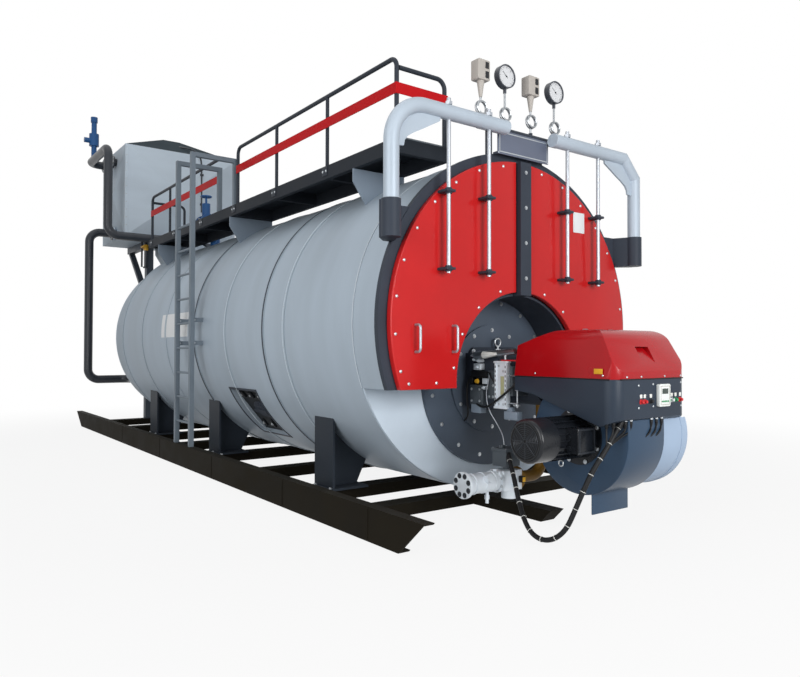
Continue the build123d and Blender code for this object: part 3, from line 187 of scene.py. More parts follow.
@dataclass(frozen=True)
class Finish:
    """One surface finish, made as a node material on Object coordinates."""

    name: str
    code: str
    rough: float
    coat: Coat = Coat.PAINT
    metal: float = 0.0
    cloud: float = 0.10
    cloud_scale: float = 2.2
    grain: float = 0.05
    grain_scale: float = 90.0
    stretch: Point = (1.0, 1.0, 1.0)
    gloss: float = 0.0
    dust: float = 0.0
    shine: float = 0.3
    crease: float = 0.0

    @property
    def label(self) -> str:
        """Name of the material, apart from the frame's own slot names."""
        return f"{self.name}_finish"

    def material(self) -> bpy.types.Material:
        """Make the material once and give it back after that."""
        found = bpy.data.materials.get(self.label)
        return found if found else self._make()

    def _make(self) -> bpy.types.Material:
        """Build the nodes: mottled colour, uneven roughness and a fine bump.

        Returns:
            The finished material.
        """
        made = bpy.data.materials.new(self.label)
        made.use_nodes = True
        graph = Graph(made.node_tree)
        place = graph.node("ShaderNodeTexCoord").outputs["Object"]
        sheet = graph.node("ShaderNodeMapping", {"Vector": place, "Scale": self.stretch}).outputs["Vector"]
        clouds = graph.noise(sheet, self.cloud_scale, CLOUD_DETAIL)
        base = hexed(self.code)
        dark = (*[c * (1 - self.cloud) for c in base], 1.0)
        light = (*[min(1.0, c * (1 + self.cloud)) for c in base], 1.0)
        colour = graph.blend(graph.spread(clouds, NOISE_MIDDLE, (0.0, 1.0)), dark, light)
        if self.dust:
            colour = self._dusted(graph, colour, clouds)
        rough = (max(LEAST_ROUGH, self.rough - ROUGH_PLAY), min(1.0, self.rough + ROUGH_PLAY))
        depth, with_sheet = self.coat.value
        fine = graph.noise(sheet if with_sheet else place, self.grain_scale, GRAIN_DETAIL)
        bump = graph.node("ShaderNodeBump", {"Strength": self.grain, "Distance": depth, "Height": fine})
        if self.crease:
            graph.feed(bump, {"Normal": self._creased(graph)})
        graph.feed(made.node_tree.nodes["Principled BSDF"], {
            "Base Color": colour, "Roughness": graph.spread(clouds, NOISE_MIDDLE, rough),
            "Metallic": self.metal, "Coat Weight": self.gloss, "Coat Roughness": COAT_ROUGH,
            "Specular IOR Level": self.shine, "Normal": bump.outputs["Normal"]})
        return made

    def _creased(self, graph: Graph) -> Socket:
        """Strengthen the slight tilts of a cross-broken sheet, so that each facet takes its own light.

        Args:
            graph: The material's nodes.

        Returns:
            The normal's socket.
        """
        last = graph.node("ShaderNodeNewGeometry").outputs["True Normal"]
        for operation, value in (("MULTIPLY", self.crease), ("MINIMUM", 1.0), ("MAXIMUM", -1.0)):
            inputs = {0: last, 1: (value, value, value)}
            last = graph.node("ShaderNodeVectorMath", inputs, operation=operation).outputs["Vector"]
        return graph.node("ShaderNodeVectorMath", {0: last}, operation="NORMALIZE").outputs["Vector"]

    def _dusted(self, graph: Graph, colour: Socket, clouds: Socket) -> Socket:
        """Lay pale dust on what faces up.

        Args:
            graph: The material's nodes.
            colour: The colour under the dust.
            clouds: Noise that breaks the dust up.

        Returns:
            The dusted colour's socket.
        """
        facing = graph.node("ShaderNodeNewGeometry").outputs["Normal"]
        upward = graph.node("ShaderNodeSeparateXYZ", {"Vector": facing}).outputs["Z"]
        lift = graph.spread(upward, DUST_TILT, (0.0, self.dust))
        share = graph.calc("MULTIPLY", lift, graph.spread(clouds, NOISE_MIDDLE, DUST_PATCHES))
        return graph.blend(share, colour, (*hexed(DUST_CODE), 1.0))


class Paint:
    """The finishes of the boiler's own pieces."""

    cladding = Finish("clad_sheet", "a8b5c1", 0.46, Coat.SHEET, metal=0.15, cloud=0.09, cloud_scale=0.9,
                      grain=0.06, grain_scale=24, stretch=(0.5, 2.4, 0.5), shine=0.08)
    front_plate = Finish("tube_plate_paint", "c3d0dc", 0.45, cloud=0.06, shine=0.1)
    frame = Finish("slate_frame", "363c46", 0.48, cloud=0.12, dust=0.05, shine=0.12)
    flange = Finish("slate_flange", "4b5562", 0.36, cloud=0.12, shine=0.2)
    door = Finish("door_red", "bd2021", 0.2, cloud=0.05, grain=0.02, grain_scale=140, shine=0.22)
    davit = Finish("davit_silver", "b0bcc8", 0.42, metal=0.1, cloud=0.05, shine=0.15)
    bright = Finish("bright_steel", "a9aeb5", 0.36, metal=0.6, cloud=0.06, grain=0.02,
                    grain_scale=160, stretch=(1.0, 1.0, 0.1))
    tube = Finish("siphon_steel", "9da1a5", 0.3, metal=0.9, cloud=0.08, grain=0.03)
    gauge_case = Finish("gauge_case", "454951", 0.35, cloud=0.06)
    switch = Finish("switch_grey", "b3aea8", 0.55, cloud=0.05, shine=0.15)
    servo = Finish("servo_slate", "4a5157", 0.55, cloud=0.08)
    walkway = Finish("walkway_slate", "292d33", 0.55, cloud=0.14, dust=0.1, shine=0.08)
    bracket = Finish("bracket_blue_grey", "7d8a98", 0.5, cloud=0.06)
    rails = Finish("railing_slate", "31363e", 0.45, cloud=0.10, shine=0.12)
    strip = Finish("strip_red", "b91a1f", 0.45, cloud=0.06, shine=0.05)
    ladder = Finish("ladder_grey", "727d87", 0.48, cloud=0.08, shine=0.12)
    economizer = Finish("economizer_sheet", "c6d3df", 0.45, Coat.SHEET, cloud=0.08, cloud_scale=1.1,
                        grain=0.05, grain_scale=18, stretch=(0.6, 0.6, 1.6), shine=0.04, crease=16.0)
    roof = Finish("roof_sheet", "4f585e", 0.65, Coat.SHEET, cloud=0.10, grain=0.05, shine=0.0)
    stand = Finish("stand_grey", "444b54", 0.5, cloud=0.1)
    pipe = Finish("pipe_black", "30343b", 0.36, cloud=0.12, gloss=0.1)
    valve = Finish("valve_blue", "23558c", 0.42, Coat.CAST, cloud=0.12, grain=0.12, grain_scale=60)
    skid = Finish("skid_black", "1e1b15", 0.65, cloud=0.2, cloud_scale=3.5, dust=0.02, shine=0.04)
    saddle = Finish("saddle_slate", "2c323a", 0.5, cloud=0.12, dust=0.03, shine=0.1)
    hood = Finish("hood_red", "a10c14", 0.24, cloud=0.04, grain=0.02, grain_scale=120, shine=0.3)
    housing = Finish("housing_slate", "2e3743", 0.38, cloud=0.06, shine=0.15)
    scroll = Finish("scroll_blue_grey", "33475d", 0.34, cloud=0.08, shine=0.25)
    intake = Finish("intake_pale_blue", "a0b3ca", 0.45, cloud=0.05, shine=0.15)
    motor = Finish("motor_black", "171a1f", 0.28, Coat.CAST, cloud=0.12, grain=0.05, grain_scale=70,
                   shine=0.35)
    gas = Finish("gas_casting", "d9e1e8", 0.42, Coat.CAST, metal=0.25, cloud=0.08, grain=0.12,
                 grain_scale=80)
    gas_pipe = Finish("gas_pipe_ochre", "7a5a1d", 0.5, cloud=0.12)
    display = Finish("display_white", "dfe4e2", 0.4, cloud=0.03)
    screen = Finish("screen_grey", "3f4a45", 0.18, cloud=0.05)
    rubber = Finish("cable_black", "141517", 0.5, cloud=0.15, grain=0.1, grain_scale=120, shine=0.2)
    tie = Finish("tie_white", "d9dad6", 0.45, cloud=0.05)
    zinc = Finish("zinc_bolt", "b9bec2", 0.34, metal=0.9, cloud=0.08, grain=0.05)
    dark_bolt = Finish("dark_bolt", "33373c", 0.4, metal=0.6, cloud=0.1)
    dial = Finish("dial_white", "d5d7da", 0.4, cloud=0.02)
    ink = Finish("dial_ink", "1b1d20", 0.5, cloud=0.05)
    red_knob = Finish("knob_red", "c1272b", 0.35, cloud=0.05)
    green_lamp = Finish("lamp_green", "2c8f5a", 0.25, cloud=0.05)
    yellow = Finish("label_yellow", "d9a528", 0.45, cloud=0.05)
    olive = Finish("strip_olive", "a8a882", 0.45, cloud=0.08)
    plate_face = Finish("plate_slate", "646b7c", 0.4, metal=0.3, cloud=0.06)
    pale_plate = Finish("pale_plate", "e0e3e5", 0.4, cloud=0.03)
    # Pale lines on lapped seams and casing edges: the light colour is a painted glint of the sheet's edge.
    lap_glint = Finish("lap_edge", "ccd6de", 0.4, Coat.SHEET, cloud=0.06, shine=0.2)
    bead = Finish("bead_sheet", "96a3ae", 0.42, Coat.SHEET, cloud=0.05, shine=0.1)
    ink_paint = Finish("window_black", "1a1d21", 0.55, cloud=0.15, shine=0.2)
    grating = Finish("grating_zinc", "6d757c", 0.5, metal=0.3, cloud=0.15)
    grille = Finish("grille_black", "33373d", 0.35, metal=0.3, cloud=0.1)


NODE_FINISH: dict[str, Finish] = {node: finish for finish, nodes in (
    (Paint.cladding, "shell rear_smokebox flue smokebox_casing"),
    (Paint.front_plate, "front_plate rear_cover"),
    (Paint.frame, "door_frame door_mullion furnace_tunnel davit_sleeves"),
    (Paint.frame, "handhole gauge_manifold burner_head"),
    (Paint.flange, "furnace_flange"),
    (Paint.door, "left_door right_door"),
    (Paint.davit, "left_davit right_davit"),
    (Paint.bright, "left_handles right_handles left_hangers right_hangers"),
    (Paint.tube, "siphon_pipes"),
    (Paint.plate_face, "name_plate"),
    (Paint.gauge_case, "pressure_gauges"),
    (Paint.switch, "pressure_switches"),
    (Paint.servo, "damper_servo gas_actuator"),
    (Paint.walkway, "walkway"),
    (Paint.bracket, "walkway_brackets"),
    (Paint.rails, "side_railings end_railings"),
    (Paint.strip, "rail_strips"),
    (Paint.ladder, "ladder ladder_hoops"),
    (Paint.economizer, "economizer"),
    (Paint.roof, "economizer_roof"),
    (Paint.stand, "economizer_stand"),
    (Paint.pipe, "outlet_pipe feed_pipe"),
    (Paint.valve, "stop_valve safety_valve"),
    (Paint.skid, "skid_rails cross_beams burner_rail"),
    (Paint.saddle, "saddles"),
    (Paint.hood, "burner_hood"),
    (Paint.housing, "burner_housing"),
    (Paint.scroll, "fan_scroll"),
    (Paint.intake, "air_intake"),
    (Paint.motor, "fan_motor"),
    (Paint.gas, "gas_valve"),
    (Paint.gas_pipe, "gas_line"),
    (Paint.display, "control_display"),
    (Paint.rubber, "cable_loom cable_glands"),
) for node in nodes.split()}


def spoke(angle: float) -> Vector:
    """Give the outward direction at an angle in radians, in a plane across the boiler."""
    return Vector((math.cos(angle), 0.0, math.sin(angle)))


@dataclass(frozen=True)
class Spot:
    """Where a fastener sits and which way its head points."""

    at: Point
    aim: Point


def ring_spots(centre: Point, aim: Point, radius: float, count: int, arc: Pair = FULL_TURN) -> list[Spot]:
    """Place fasteners on a circle or an arc.

    Args:
        centre: Middle of the circle.
        aim: The way that the heads point, along X, Y or Z.
        radius: Circle's radius.
        count: Number of fasteners.
        arc: First and last angle in degrees; a full turn has no fastener twice.

    Returns:
        The spots.
    """
    if abs(aim[1]) > 0.5:
        first, second = Vector((1, 0, 0)), Vector((0, 0, 1))
    elif abs(aim[0]) > 0.5:
        first, second = Vector((0, 1, 0)), Vector((0, 0, 1))
    else:
        first, second = Vector((1, 0, 0)), Vector((0, 1, 0))
    full = abs(arc[1] - arc[0]) >= 360.0
    steps = count if full else max(1, count - 1)
    spots = []
    for k in range(count):
        angle = math.radians(arc[0] + (arc[1] - arc[0]) * k / steps)
        at = Vector(centre) + radius * (math.cos(angle) * first + math.sin(angle) * second)
        spots.append(Spot(tuple(at), aim))
    return spots


def line_spots(start: Point, end: Point, aim: Point, count: int) -> list[Spot]:
    """Place fasteners in a row.

    Args:
        start: First place.
        end: Last place.
        aim: The way that the heads point.
        count: Number of fasteners.

    Returns:
        The spots.
    """
    a, b = Vector(start), Vector(end)
    return [Spot(tuple(a.lerp(b, k / max(1, count - 1))), aim) for k in range(count)]


def face_spots(face: float, aim: Point, places: Iterable[Pair]) -> list[Spot]:
    """Place fasteners on a flat face.

    Args:
        face: The face's place along the aim's axis.
        aim: The way that the heads point, along X, Y or Z.
        places: The other two coordinates of each fastener, in the order X, Y, Z.

    Returns:
        The spots.
    """
    axis = [abs(part) for part in aim].index(1.0)
    return [Spot((*place[:axis], face, *place[axis:]), aim) for place in places]


class Growth(Graph):
    """A Geometry Nodes tree that is built here and then turned into a plain mesh."""

    def __init__(self, name: str) -> None:
        """Start a tree with one geometry in and one out.

        Args:
            name: The tree's name.
        """
        super().__init__(bpy.data.node_groups.new(name, "GeometryNodeTree"))
        for way in ("INPUT", "OUTPUT"):
            self.tree.interface.new_socket("Geometry", in_out=way, socket_type="NodeSocketGeometry")
        self.start = self.node("NodeGroupInput")
        self.end = self.node("NodeGroupOutput")
        self.ids: dict[str, str] = {}

    def size(self, name: str, kind: str = "Float") -> Socket:
        """Add a named input.

        Args:
            name: The input's name.
            kind: Float, Int, Vector or Material.

        Returns:
            Its socket inside the tree.
        """
        made = self.tree.interface.new_socket(name, in_out="INPUT", socket_type=f"NodeSocket{kind}")
        self.ids[name] = made.identifier
        return self.start.outputs[name]

    def cone(self, sides: int, bottom: Socket, top: Socket, depth: Socket) -> Socket:
        """Stand a cone or a prism on the origin and give back its mesh."""
        inputs = {"Vertices": sides, "Radius Bottom": bottom, "Radius Top": top, "Depth": depth}
        return self.node("GeometryNodeMeshCone", inputs).outputs["Mesh"]

    def join(self, *shapes: Socket) -> Socket:
        """Join several geometries into one.

        Args:
            shapes: The geometries.

        Returns:
            The whole's socket.
        """
        made = self.node("GeometryNodeJoinGeometry")
        for shape in shapes:
            self.feed(made, {"Geometry": shape})
        return made.outputs["Geometry"]

    def aims(self) -> Inputs:
        """Give the input that turns a shape to each point's stored aim.

        Returns:
            The input's name and its socket.
        """
        aim = self.node("GeometryNodeInputNamedAttribute", {"Name": "aim"}, data_type="FLOAT_VECTOR")
        inputs = {"Vector": aim.outputs["Attribute"]}
        turn = self.node("FunctionNodeAlignRotationToVector", inputs, axis="Z")
        return {"Rotation": turn.outputs["Rotation"]}

    def plant(self, points: Socket, shape: Socket, turn: Inputs) -> "Growth":
        """Put a shape on every point, and end the tree with Realize Instances and Set Material.

        Args:
            points: The points.
            shape: The shape.
            turn: The input that turns it, or none.

        Returns:
            The tree itself.
        """
        inputs = {"Points": points, "Instance": shape, **turn}
        placed = self.node("GeometryNodeInstanceOnPoints", inputs).outputs["Instances"]
        real = self.node("GeometryNodeRealizeInstances", {"Geometry": placed}).outputs["Geometry"]
        inputs = {"Geometry": real, "Material": self.size("Material", "Material")}
        self.feed(self.end, {"Geometry": self.node("GeometryNodeSetMaterial", inputs).outputs["Geometry"]})
        return self

    def grow(self, host: bpy.types.Object, finish: Finish, sizes: dict[str, object]) -> bpy.types.Mesh:
        """Run the tree on an object and give back the plain mesh.

        Args:
            host: Object whose data goes into the tree; it is removed afterwards.
            finish: Finish of the result.
            sizes: Named input to value.

        Returns:
            The realized mesh.
        """
        bpy.context.scene.collection.objects.link(host)
        modifier = host.modifiers.new("growth", "NODES")
        modifier.node_group = self.tree
        for key, value in {**sizes, "Material": finish.material()}.items():
            modifier[self.ids[key]] = value
        bpy.context.view_layer.update()
        graph = bpy.context.evaluated_depsgraph_get()
        mesh = bpy.data.meshes.new_from_object(host.evaluated_get(graph))
        host.modifiers.remove(modifier)
        bpy.data.objects.remove(host)
        return mesh


def bolt_growth() -> Growth:
    """Make the tree that puts a washer and a hexagon head on every point.

    Returns:
        The tree, with inputs Head, Height and Washer.
    """
    tree = Growth("bolts_on_points")
    head, height, washer = tree.size("Head"), tree.size("Height"), tree.size("Washer")
    bolt = tree.cone(6, head, head, height)
    crown = tree.calc("MULTIPLY", head, BOLT_CROWN)
    cap = tree.cone(6, head, crown, tree.calc("MULTIPLY", height, BOLT_CAP))
    lift = tree.node("ShaderNodeCombineXYZ", {"Z": height}).outputs["Vector"]
    capped = tree.node("GeometryNodeTransform", {"Geometry": cap, "Translation": lift}).outputs["Geometry"]
    disc = tree.cone(14, washer, washer, tree.calc("MULTIPLY", height, WASHER_FLAT))
    return tree.plant(tree.start.outputs["Geometry"], tree.join(bolt, capped, disc), tree.aims())


def dome_growth() -> Growth:
    """Make the tree that puts a low round head on every point.

    Returns:
        The tree, with inputs Head and Height.
    """
    tree = Growth("domes_on_points")
    head, height = tree.size("Head"), tree.size("Height")
    ball = tree.node("GeometryNodeMeshUVSphere", {"Segments": 10, "Rings": 6, "Radius": 1.0})
    squash = tree.node("ShaderNodeCombineXYZ", {"X": head, "Y": head, "Z": height}).outputs["Vector"]
    dome = tree.node("GeometryNodeTransform", {"Geometry": ball.outputs["Mesh"], "Scale": squash})
    return tree.plant(tree.start.outputs["Geometry"], dome.outputs["Geometry"], tree.aims())


def bar_growth() -> Growth:
    """Make the tree that repeats a bar along a line.

    Returns:
        The tree, with inputs Count, Start, Step and Bar.
    """
    tree = Growth("bars_in_a_row")
    line = {"Count": tree.size("Count", "Int"), "Start Location": tree.size("Start", "Vector"),
            "Offset": tree.size("Step", "Vector")}
    row = tree.node("GeometryNodeMeshLine", line).outputs["Mesh"]
    bar = tree.node("GeometryNodeMeshCube", {"Size": tree.size("Bar", "Vector")}).outputs["Mesh"]
    return tree.plant(row, bar, {})


def tie_growth() -> Growth:
    """Make the tree that puts ties round a cable at even steps.

    Returns:
        The tree, with inputs Count, Radius and Band.
    """
    tree = Growth("ties_along_cable")
    count, radius, band = tree.size("Count", "Int"), tree.size("Radius"), tree.size("Band")
    line = {"Curve": tree.start.outputs["Geometry"], "Count": count}
    steps = tree.node("GeometryNodeCurveToPoints", line, mode="COUNT")
    loop, strap = [tree.node("GeometryNodeCurvePrimitiveCircle", {"Resolution": sides, "Radius": size})
                   for sides, size in ((20, radius), (6, band))]
    inputs = {"Curve": loop.outputs["Curve"], "Profile Curve": strap.outputs["Curve"]}
    tie = tree.node("GeometryNodeCurveToMesh", inputs).outputs["Mesh"]
    return tree.plant(steps.outputs["Points"], tie, {"Rotation": steps.outputs["Rotation"]})


class Fixings:
    """The fasteners and repeated pieces, each made by its own Geometry Nodes tree."""

    def __init__(self) -> None:
        """Build the trees once."""
        self.bolts = bolt_growth()
        self.domes = dome_growth()
        self.bars = bar_growth()
        self.ties = tie_growth()

    @staticmethod
    def _host(spots: Iterable[Spot]) -> bpy.types.Object:
        """Store the spots as points with their aims.

        Args:
            spots: The spots.

        Returns:
            The object that holds the points.
        """
        spots = list(spots)
        mesh = bpy.data.meshes.new("spots")
        mesh.from_pydata([s.at for s in spots], [], [])
        aims = mesh.attributes.new("aim", "FLOAT_VECTOR", "POINT")
        aims.data.foreach_set("vector", [c for s in spots for c in s.aim])
        return bpy.data.objects.new("spots", mesh)

    def bolt(self, name: str, spots: Iterable[Spot], head: float, body: str = ROOT,
             finish: Finish = Paint.zinc) -> None:
        """Add a set of hexagon bolts, with the head's radius in metres."""
        sizes = {"Head": head, "Height": head * BOLT_HEIGHT, "Washer": head * BOLT_WASHER}
        show(name, self.bolts.grow(self._host(spots), finish, sizes), finish, body)

    def dome(self, name: str, spots: Iterable[Spot], head: float, body: str = ROOT,
             finish: Finish = Paint.zinc, height: float = 0.5) -> None:
        """Add a set of round heads or rivets, with a height that is a share of the head's radius."""
        sizes = {"Head": head, "Height": head * height}
        show(name, self.domes.grow(self._host(spots), finish, sizes), finish, body)

    def bar_row(self, name: str, count: int, start: Point, step: Point, bar: Point, finish: Finish) -> None:
        """Add a row of equal bars.

        Args:
            name: Piece name.
            count: Number of bars.
            start: Middle of the first bar.
            step: From one bar to the next.
            bar: Size of a bar.
            finish: Their finish.
        """
        host = bpy.data.objects.new("row", bpy.data.meshes.new("row"))
        sizes = {"Count": count, "Start": start, "Step": step, "Bar": bar}
        show(name, self.bars.grow(host, finish, sizes), finish, ROOT)


def show(name: str, mesh: bpy.types.Mesh, finish: Finish, body: str = ROOT, sharp: float = PIECE_CREASE,
         replaced: Sequence[str] = ()) -> bpy.types.Object:
    """Put a mesh in the scene as a piece that rides on a body.

    Args:
        name: Piece name.
        mesh: Its mesh, in the model's frame.
        finish: Its finish, if the mesh has none.
        body: Body that carries it.
        sharp: Edges that turn by more degrees than this stay sharp.
        replaced: CAD nodes that it stands for.

    Returns:
        The object.
    """
    mesh.name = name
    if not mesh.materials:
        mesh.materials.append(finish.material())
    mesh.polygons.foreach_set("use_smooth", [True] * len(mesh.polygons))
    mesh.set_sharp_from_angle(angle=math.radians(sharp))
    piece = bpy.data.objects.new(name, mesh)
    bpy.context.scene.collection.objects.link(piece)
    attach(piece, body)
    if replaced:
        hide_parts(*replaced)
    LOG.info("%s on %s, %d faces", name, body, len(mesh.polygons))
    return piece


class Mould:
    """Collects simple solids into one mesh."""

    def __init__(self, at: Point = (0.0, 0.0, 0.0)) -> None:
        """Start empty, at a place that is added to the points of boxes, bars and rings."""
        self.mesh = bmesh.new()
        self.at = at

    def _place(self, point: Point) -> Vector:
        """Find a point in the model's frame."""
        return Vector([part + shift for part, shift in zip(point, self.at)])

    def rod(self, start: Point, end: Point, radius: float, sides: int = 20,
            tip: float | None = None) -> "Mould":
        """Add a round bar, or a cone with another radius at its end.

        Args:
            start: One end.
            end: Other end.
            radius: Radius at the start.
            sides: Number of sides.
            tip: Radius at the end.

        Returns:
            The mould itself.
        """
        a, b = self._place(start), self._place(end)
        turn = (b - a).to_track_quat("Z", "Y").to_matrix().to_4x4()
        matrix = Matrix.Translation((a + b) / 2) @ turn
        bmesh.ops.create_cone(self.mesh, cap_ends=True, segments=sides, radius1=radius,
                              radius2=radius if tip is None else tip, depth=(b - a).length, matrix=matrix)
        return self

    def slab(self, one: Point, other: Point, round_by: float = 0.0) -> "Mould":
        """Add a box between two opposite corners, with rounded edges if asked.

        Args:
            one: One corner.
            other: Other corner.
            round_by: Edge radius.

        Returns:
            The mould itself.
        """
        a, b = self._place(one), self._place(other)
        size = [abs(part) for part in b - a]
        matrix = Matrix.Translation((a + b) / 2) @ Matrix.Diagonal((*size, 1.0))
        block = bmesh.new()
        bmesh.ops.create_cube(block, size=1.0, matrix=matrix)
        if round_by:
            bmesh.ops.bevel(block, geom=list(block.edges), offset=round_by, segments=3, profile=0.5,
                            affect="EDGES", clamp_overlap=True)
        mesh = bpy.data.meshes.new("block")
        block.to_mesh(mesh)
        block.free()
        return self._add(mesh)

    def _add(self, mesh: bpy.types.Mesh) -> "Mould":
        """Add a finished mesh, which is then removed.

        Args:
            mesh: The mesh.

        Returns:
            The mould itself.
        """
        self.mesh.from_mesh(mesh)
        bpy.data.meshes.remove(mesh)
        return self

    def turned(self, profile: Sequence[Pair], centre: Point, axis: Point, sides: int = 48) -> "Mould":
        """Add a turned ring from a closed profile.

        Args:
            profile: Radius and height pairs round the section.
            centre: Origin of the heights.
            axis: Direction of the heights.
            sides: Number of sides.

        Returns:
            The mould itself.
        """
        turn = Vector(axis).to_track_quat("Z", "Y").to_matrix().to_4x4()
        matrix = Matrix.Translation(self._place(centre)) @ turn
        rings = []
        for k in range(sides):
            angle = 2 * math.pi * k / sides
            ring = [Vector((r * math.cos(angle), r * math.sin(angle), h)) for r, h in profile]
            rings.append([self.mesh.verts.new(matrix @ point) for point in ring])
        faces = []
        for k in range(sides):
            one, two = rings[k], rings[(k + 1) % sides]
            for j in range(len(profile)):
                i = (j + 1) % len(profile)
                faces.append(self.mesh.faces.new((one[j], two[j], two[i], one[i])))
        bmesh.ops.remove_doubles(self.mesh, verts=[v for ring in rings for v in ring], dist=1e-6)
        faces = [f for f in faces if f.is_valid]
        bmesh.ops.recalc_face_normals(self.mesh, faces=faces)
        return self

    def hose(self, points: Sequence[Point], radius: float, sides: int = 10) -> "Mould":
        """Add a bent bar along a smooth line through control points.

        Args:
            points: Control points.
            radius: Bar radius.
            sides: Sides round the bar.

        Returns:
            The mould itself.
        """
        curve = nurbs("bent_bar", [self._place(point) for point in points], radius, sides)
        rod = bpy.data.objects.new("bent_bar", curve)
        bpy.context.scene.collection.objects.link(rod)
        bpy.context.view_layer.update()
        mesh = bpy.data.meshes.new_from_object(rod.evaluated_get(bpy.context.evaluated_depsgraph_get()))
        bpy.data.objects.remove(rod)
        return self._add(mesh)

    def patch(self, radius: float, along: Pair, arc: Pair, thick: float) -> "Mould":
        """Add a curved plate that lies on the shell.

        Args:
            radius: Radius of its inner face.
            along: First and last place along Y.
            arc: First and last angle in degrees.
            thick: Plate thickness.

        Returns:
            The mould itself.
        """
        steps = max(2, int(abs(arc[1] - arc[0]) / 1.5) + 1)
        rows = []
        for k in range(steps + 1):
            angle = math.radians(arc[0] + (arc[1] - arc[0]) * k / steps)
            out = spoke(angle)
            corners = [(radius, along[0]), (radius, along[1]), (radius + thick, along[1]),
                       (radius + thick, along[0])]
            rows.append([self.mesh.verts.new(Vector((0, y, AXIS_Z)) + out * r) for r, y in corners])
        faces = [self.mesh.faces.new(rows[0]), self.mesh.faces.new(rows[-1])]
        for one, two in zip(rows, rows[1:]):
            for j in range(4):
                i = (j + 1) % 4
                faces.append(self.mesh.faces.new((one[j], one[i], two[i], two[j])))
        bmesh.ops.recalc_face_normals(self.mesh, faces=faces)
        return self

    def bead(self, centre: Point, radius: float, bar: float) -> "Mould":
        """Add a thin round bead about the shell's axis."""
        return self.turned(torus_profile(radius, bar, 6), centre, BACK, 120)

    def bar(self, start: Vector, end: Vector, width: float, face: Point) -> "Mould":
        """Add a flat mark between two points on a face.

        Args:
            start: One end.
            end: Other end.
            width: Its width.
            face: The way that the face looks.

        Returns:
            The mould itself.
        """
        ahead = (end - start).normalized()
        out = Vector(face)
        frame = Matrix((ahead, out.cross(ahead), out)).transposed().to_4x4()
        frame.translation = (start + end) / 2 + out * 0.0005
        size = Matrix.Diagonal(((end - start).length, width, 0.001, 1.0))
        bmesh.ops.create_cube(self.mesh, size=1.0, matrix=frame @ size)
        return self

    def frame_rim(self, low: Pair, high: Pair, y: float, width: float, proud: float) -> "Mould":
        """Add a raised rectangular rim on a face that looks forward.

        Args:
            low: Lowest X and Z.
            high: Highest X and Z.
            y: The face.
            width: Rim width.
            proud: How far it stands out.

        Returns:
            The mould itself.
        """
        (x0, z0), (x1, z1) = low, high
        self.slab((x0, y - proud, z0), (x1, y, z0 + width))
        self.slab((x0, y - proud, z1 - width), (x1, y, z1))
        self.slab((x0, y - proud, z0 + width), (x0 + width, y, z1 - width))
        self.slab((x1 - width, y - proud, z0 + width), (x1, y, z1 - width))
        return self

    def plate(self, outline: Sequence[Pair], y: float, thick: float) -> "Mould":
        """Add a flat plate that stands across the boiler.

        Args:
            outline: X and Z of its corners in order.
            y: Its middle.
            thick: Its thickness.

        Returns:
            The mould itself.
        """
        front = [self.mesh.verts.new((x, y - thick / 2, z)) for x, z in outline]
        back = [self.mesh.verts.new((x, y + thick / 2, z)) for x, z in outline]
        faces = [self.mesh.faces.new(front), self.mesh.faces.new(back)]
        for k in range(len(outline)):
            j = (k + 1) % len(outline)
            faces.append(self.mesh.faces.new((front[k], front[j], back[j], back[k])))
        bmesh.ops.recalc_face_normals(self.mesh, faces=faces)
        return self

    def moved(self, matrix: Matrix) -> "Mould":
        """Move everything in the mould by a matrix."""
        bmesh.ops.transform(self.mesh, matrix=matrix, verts=self.mesh.verts)
        return self

    def show(self, name: str, finish: Finish, body: str = ROOT) -> bpy.types.Object:
        """Put the mesh in the scene as a piece and close the mould.

        Args:
            name: Piece name.
            finish: Its finish.
            body: Body that carries it.

        Returns:
            The object.
        """
        mesh = bpy.data.meshes.new(name)
        self.mesh.to_mesh(mesh)
        self.mesh.free()
        return show(name, mesh, finish, body)


def torus_profile(radius: float, bar: float, steps: int = 12) -> list[tuple[float, float]]:
    """Make the round section of a ring.

    Args:
        radius: Ring radius.
        bar: Bar radius.
        steps: Points round the bar.

    Returns:
        Radius and height pairs.
    """
    turns = [2 * math.pi * k / steps for k in range(steps)]
    return [(radius + bar * math.cos(t), bar * math.sin(t)) for t in turns]


def nurbs(name: str, points: Sequence[Point], radius: float, sides: int = 10) -> bpy.types.Curve:
    """Make a smooth open line with a round section.

    Args:
        name: Curve name.
        points: Control points.
        radius: Section radius; 0 leaves a bare line.
        sides: Sides round the section.

    Returns:
        The curve.
    """
    curve = bpy.data.curves.new(name, "CURVE")
    curve.dimensions = "3D"
    curve.bevel_depth = radius
    curve.bevel_resolution = max(1, sides // 4)
    curve.use_fill_caps = True
    spline = curve.splines.new("NURBS")
    spline.points.add(len(points) - 1)
    for target, point in zip(spline.points, points):
        target.co = (*point, 1.0)
    spline.order_u = 3
    spline.use_endpoint_u = True
    spline.resolution_u = 8
    return curve


def within(point: Vector, low: Point, high: Point) -> bool:
    """Tell whether a point lies in a box."""
    return all(a <= p <= b for a, p, b in zip(low, point, high))


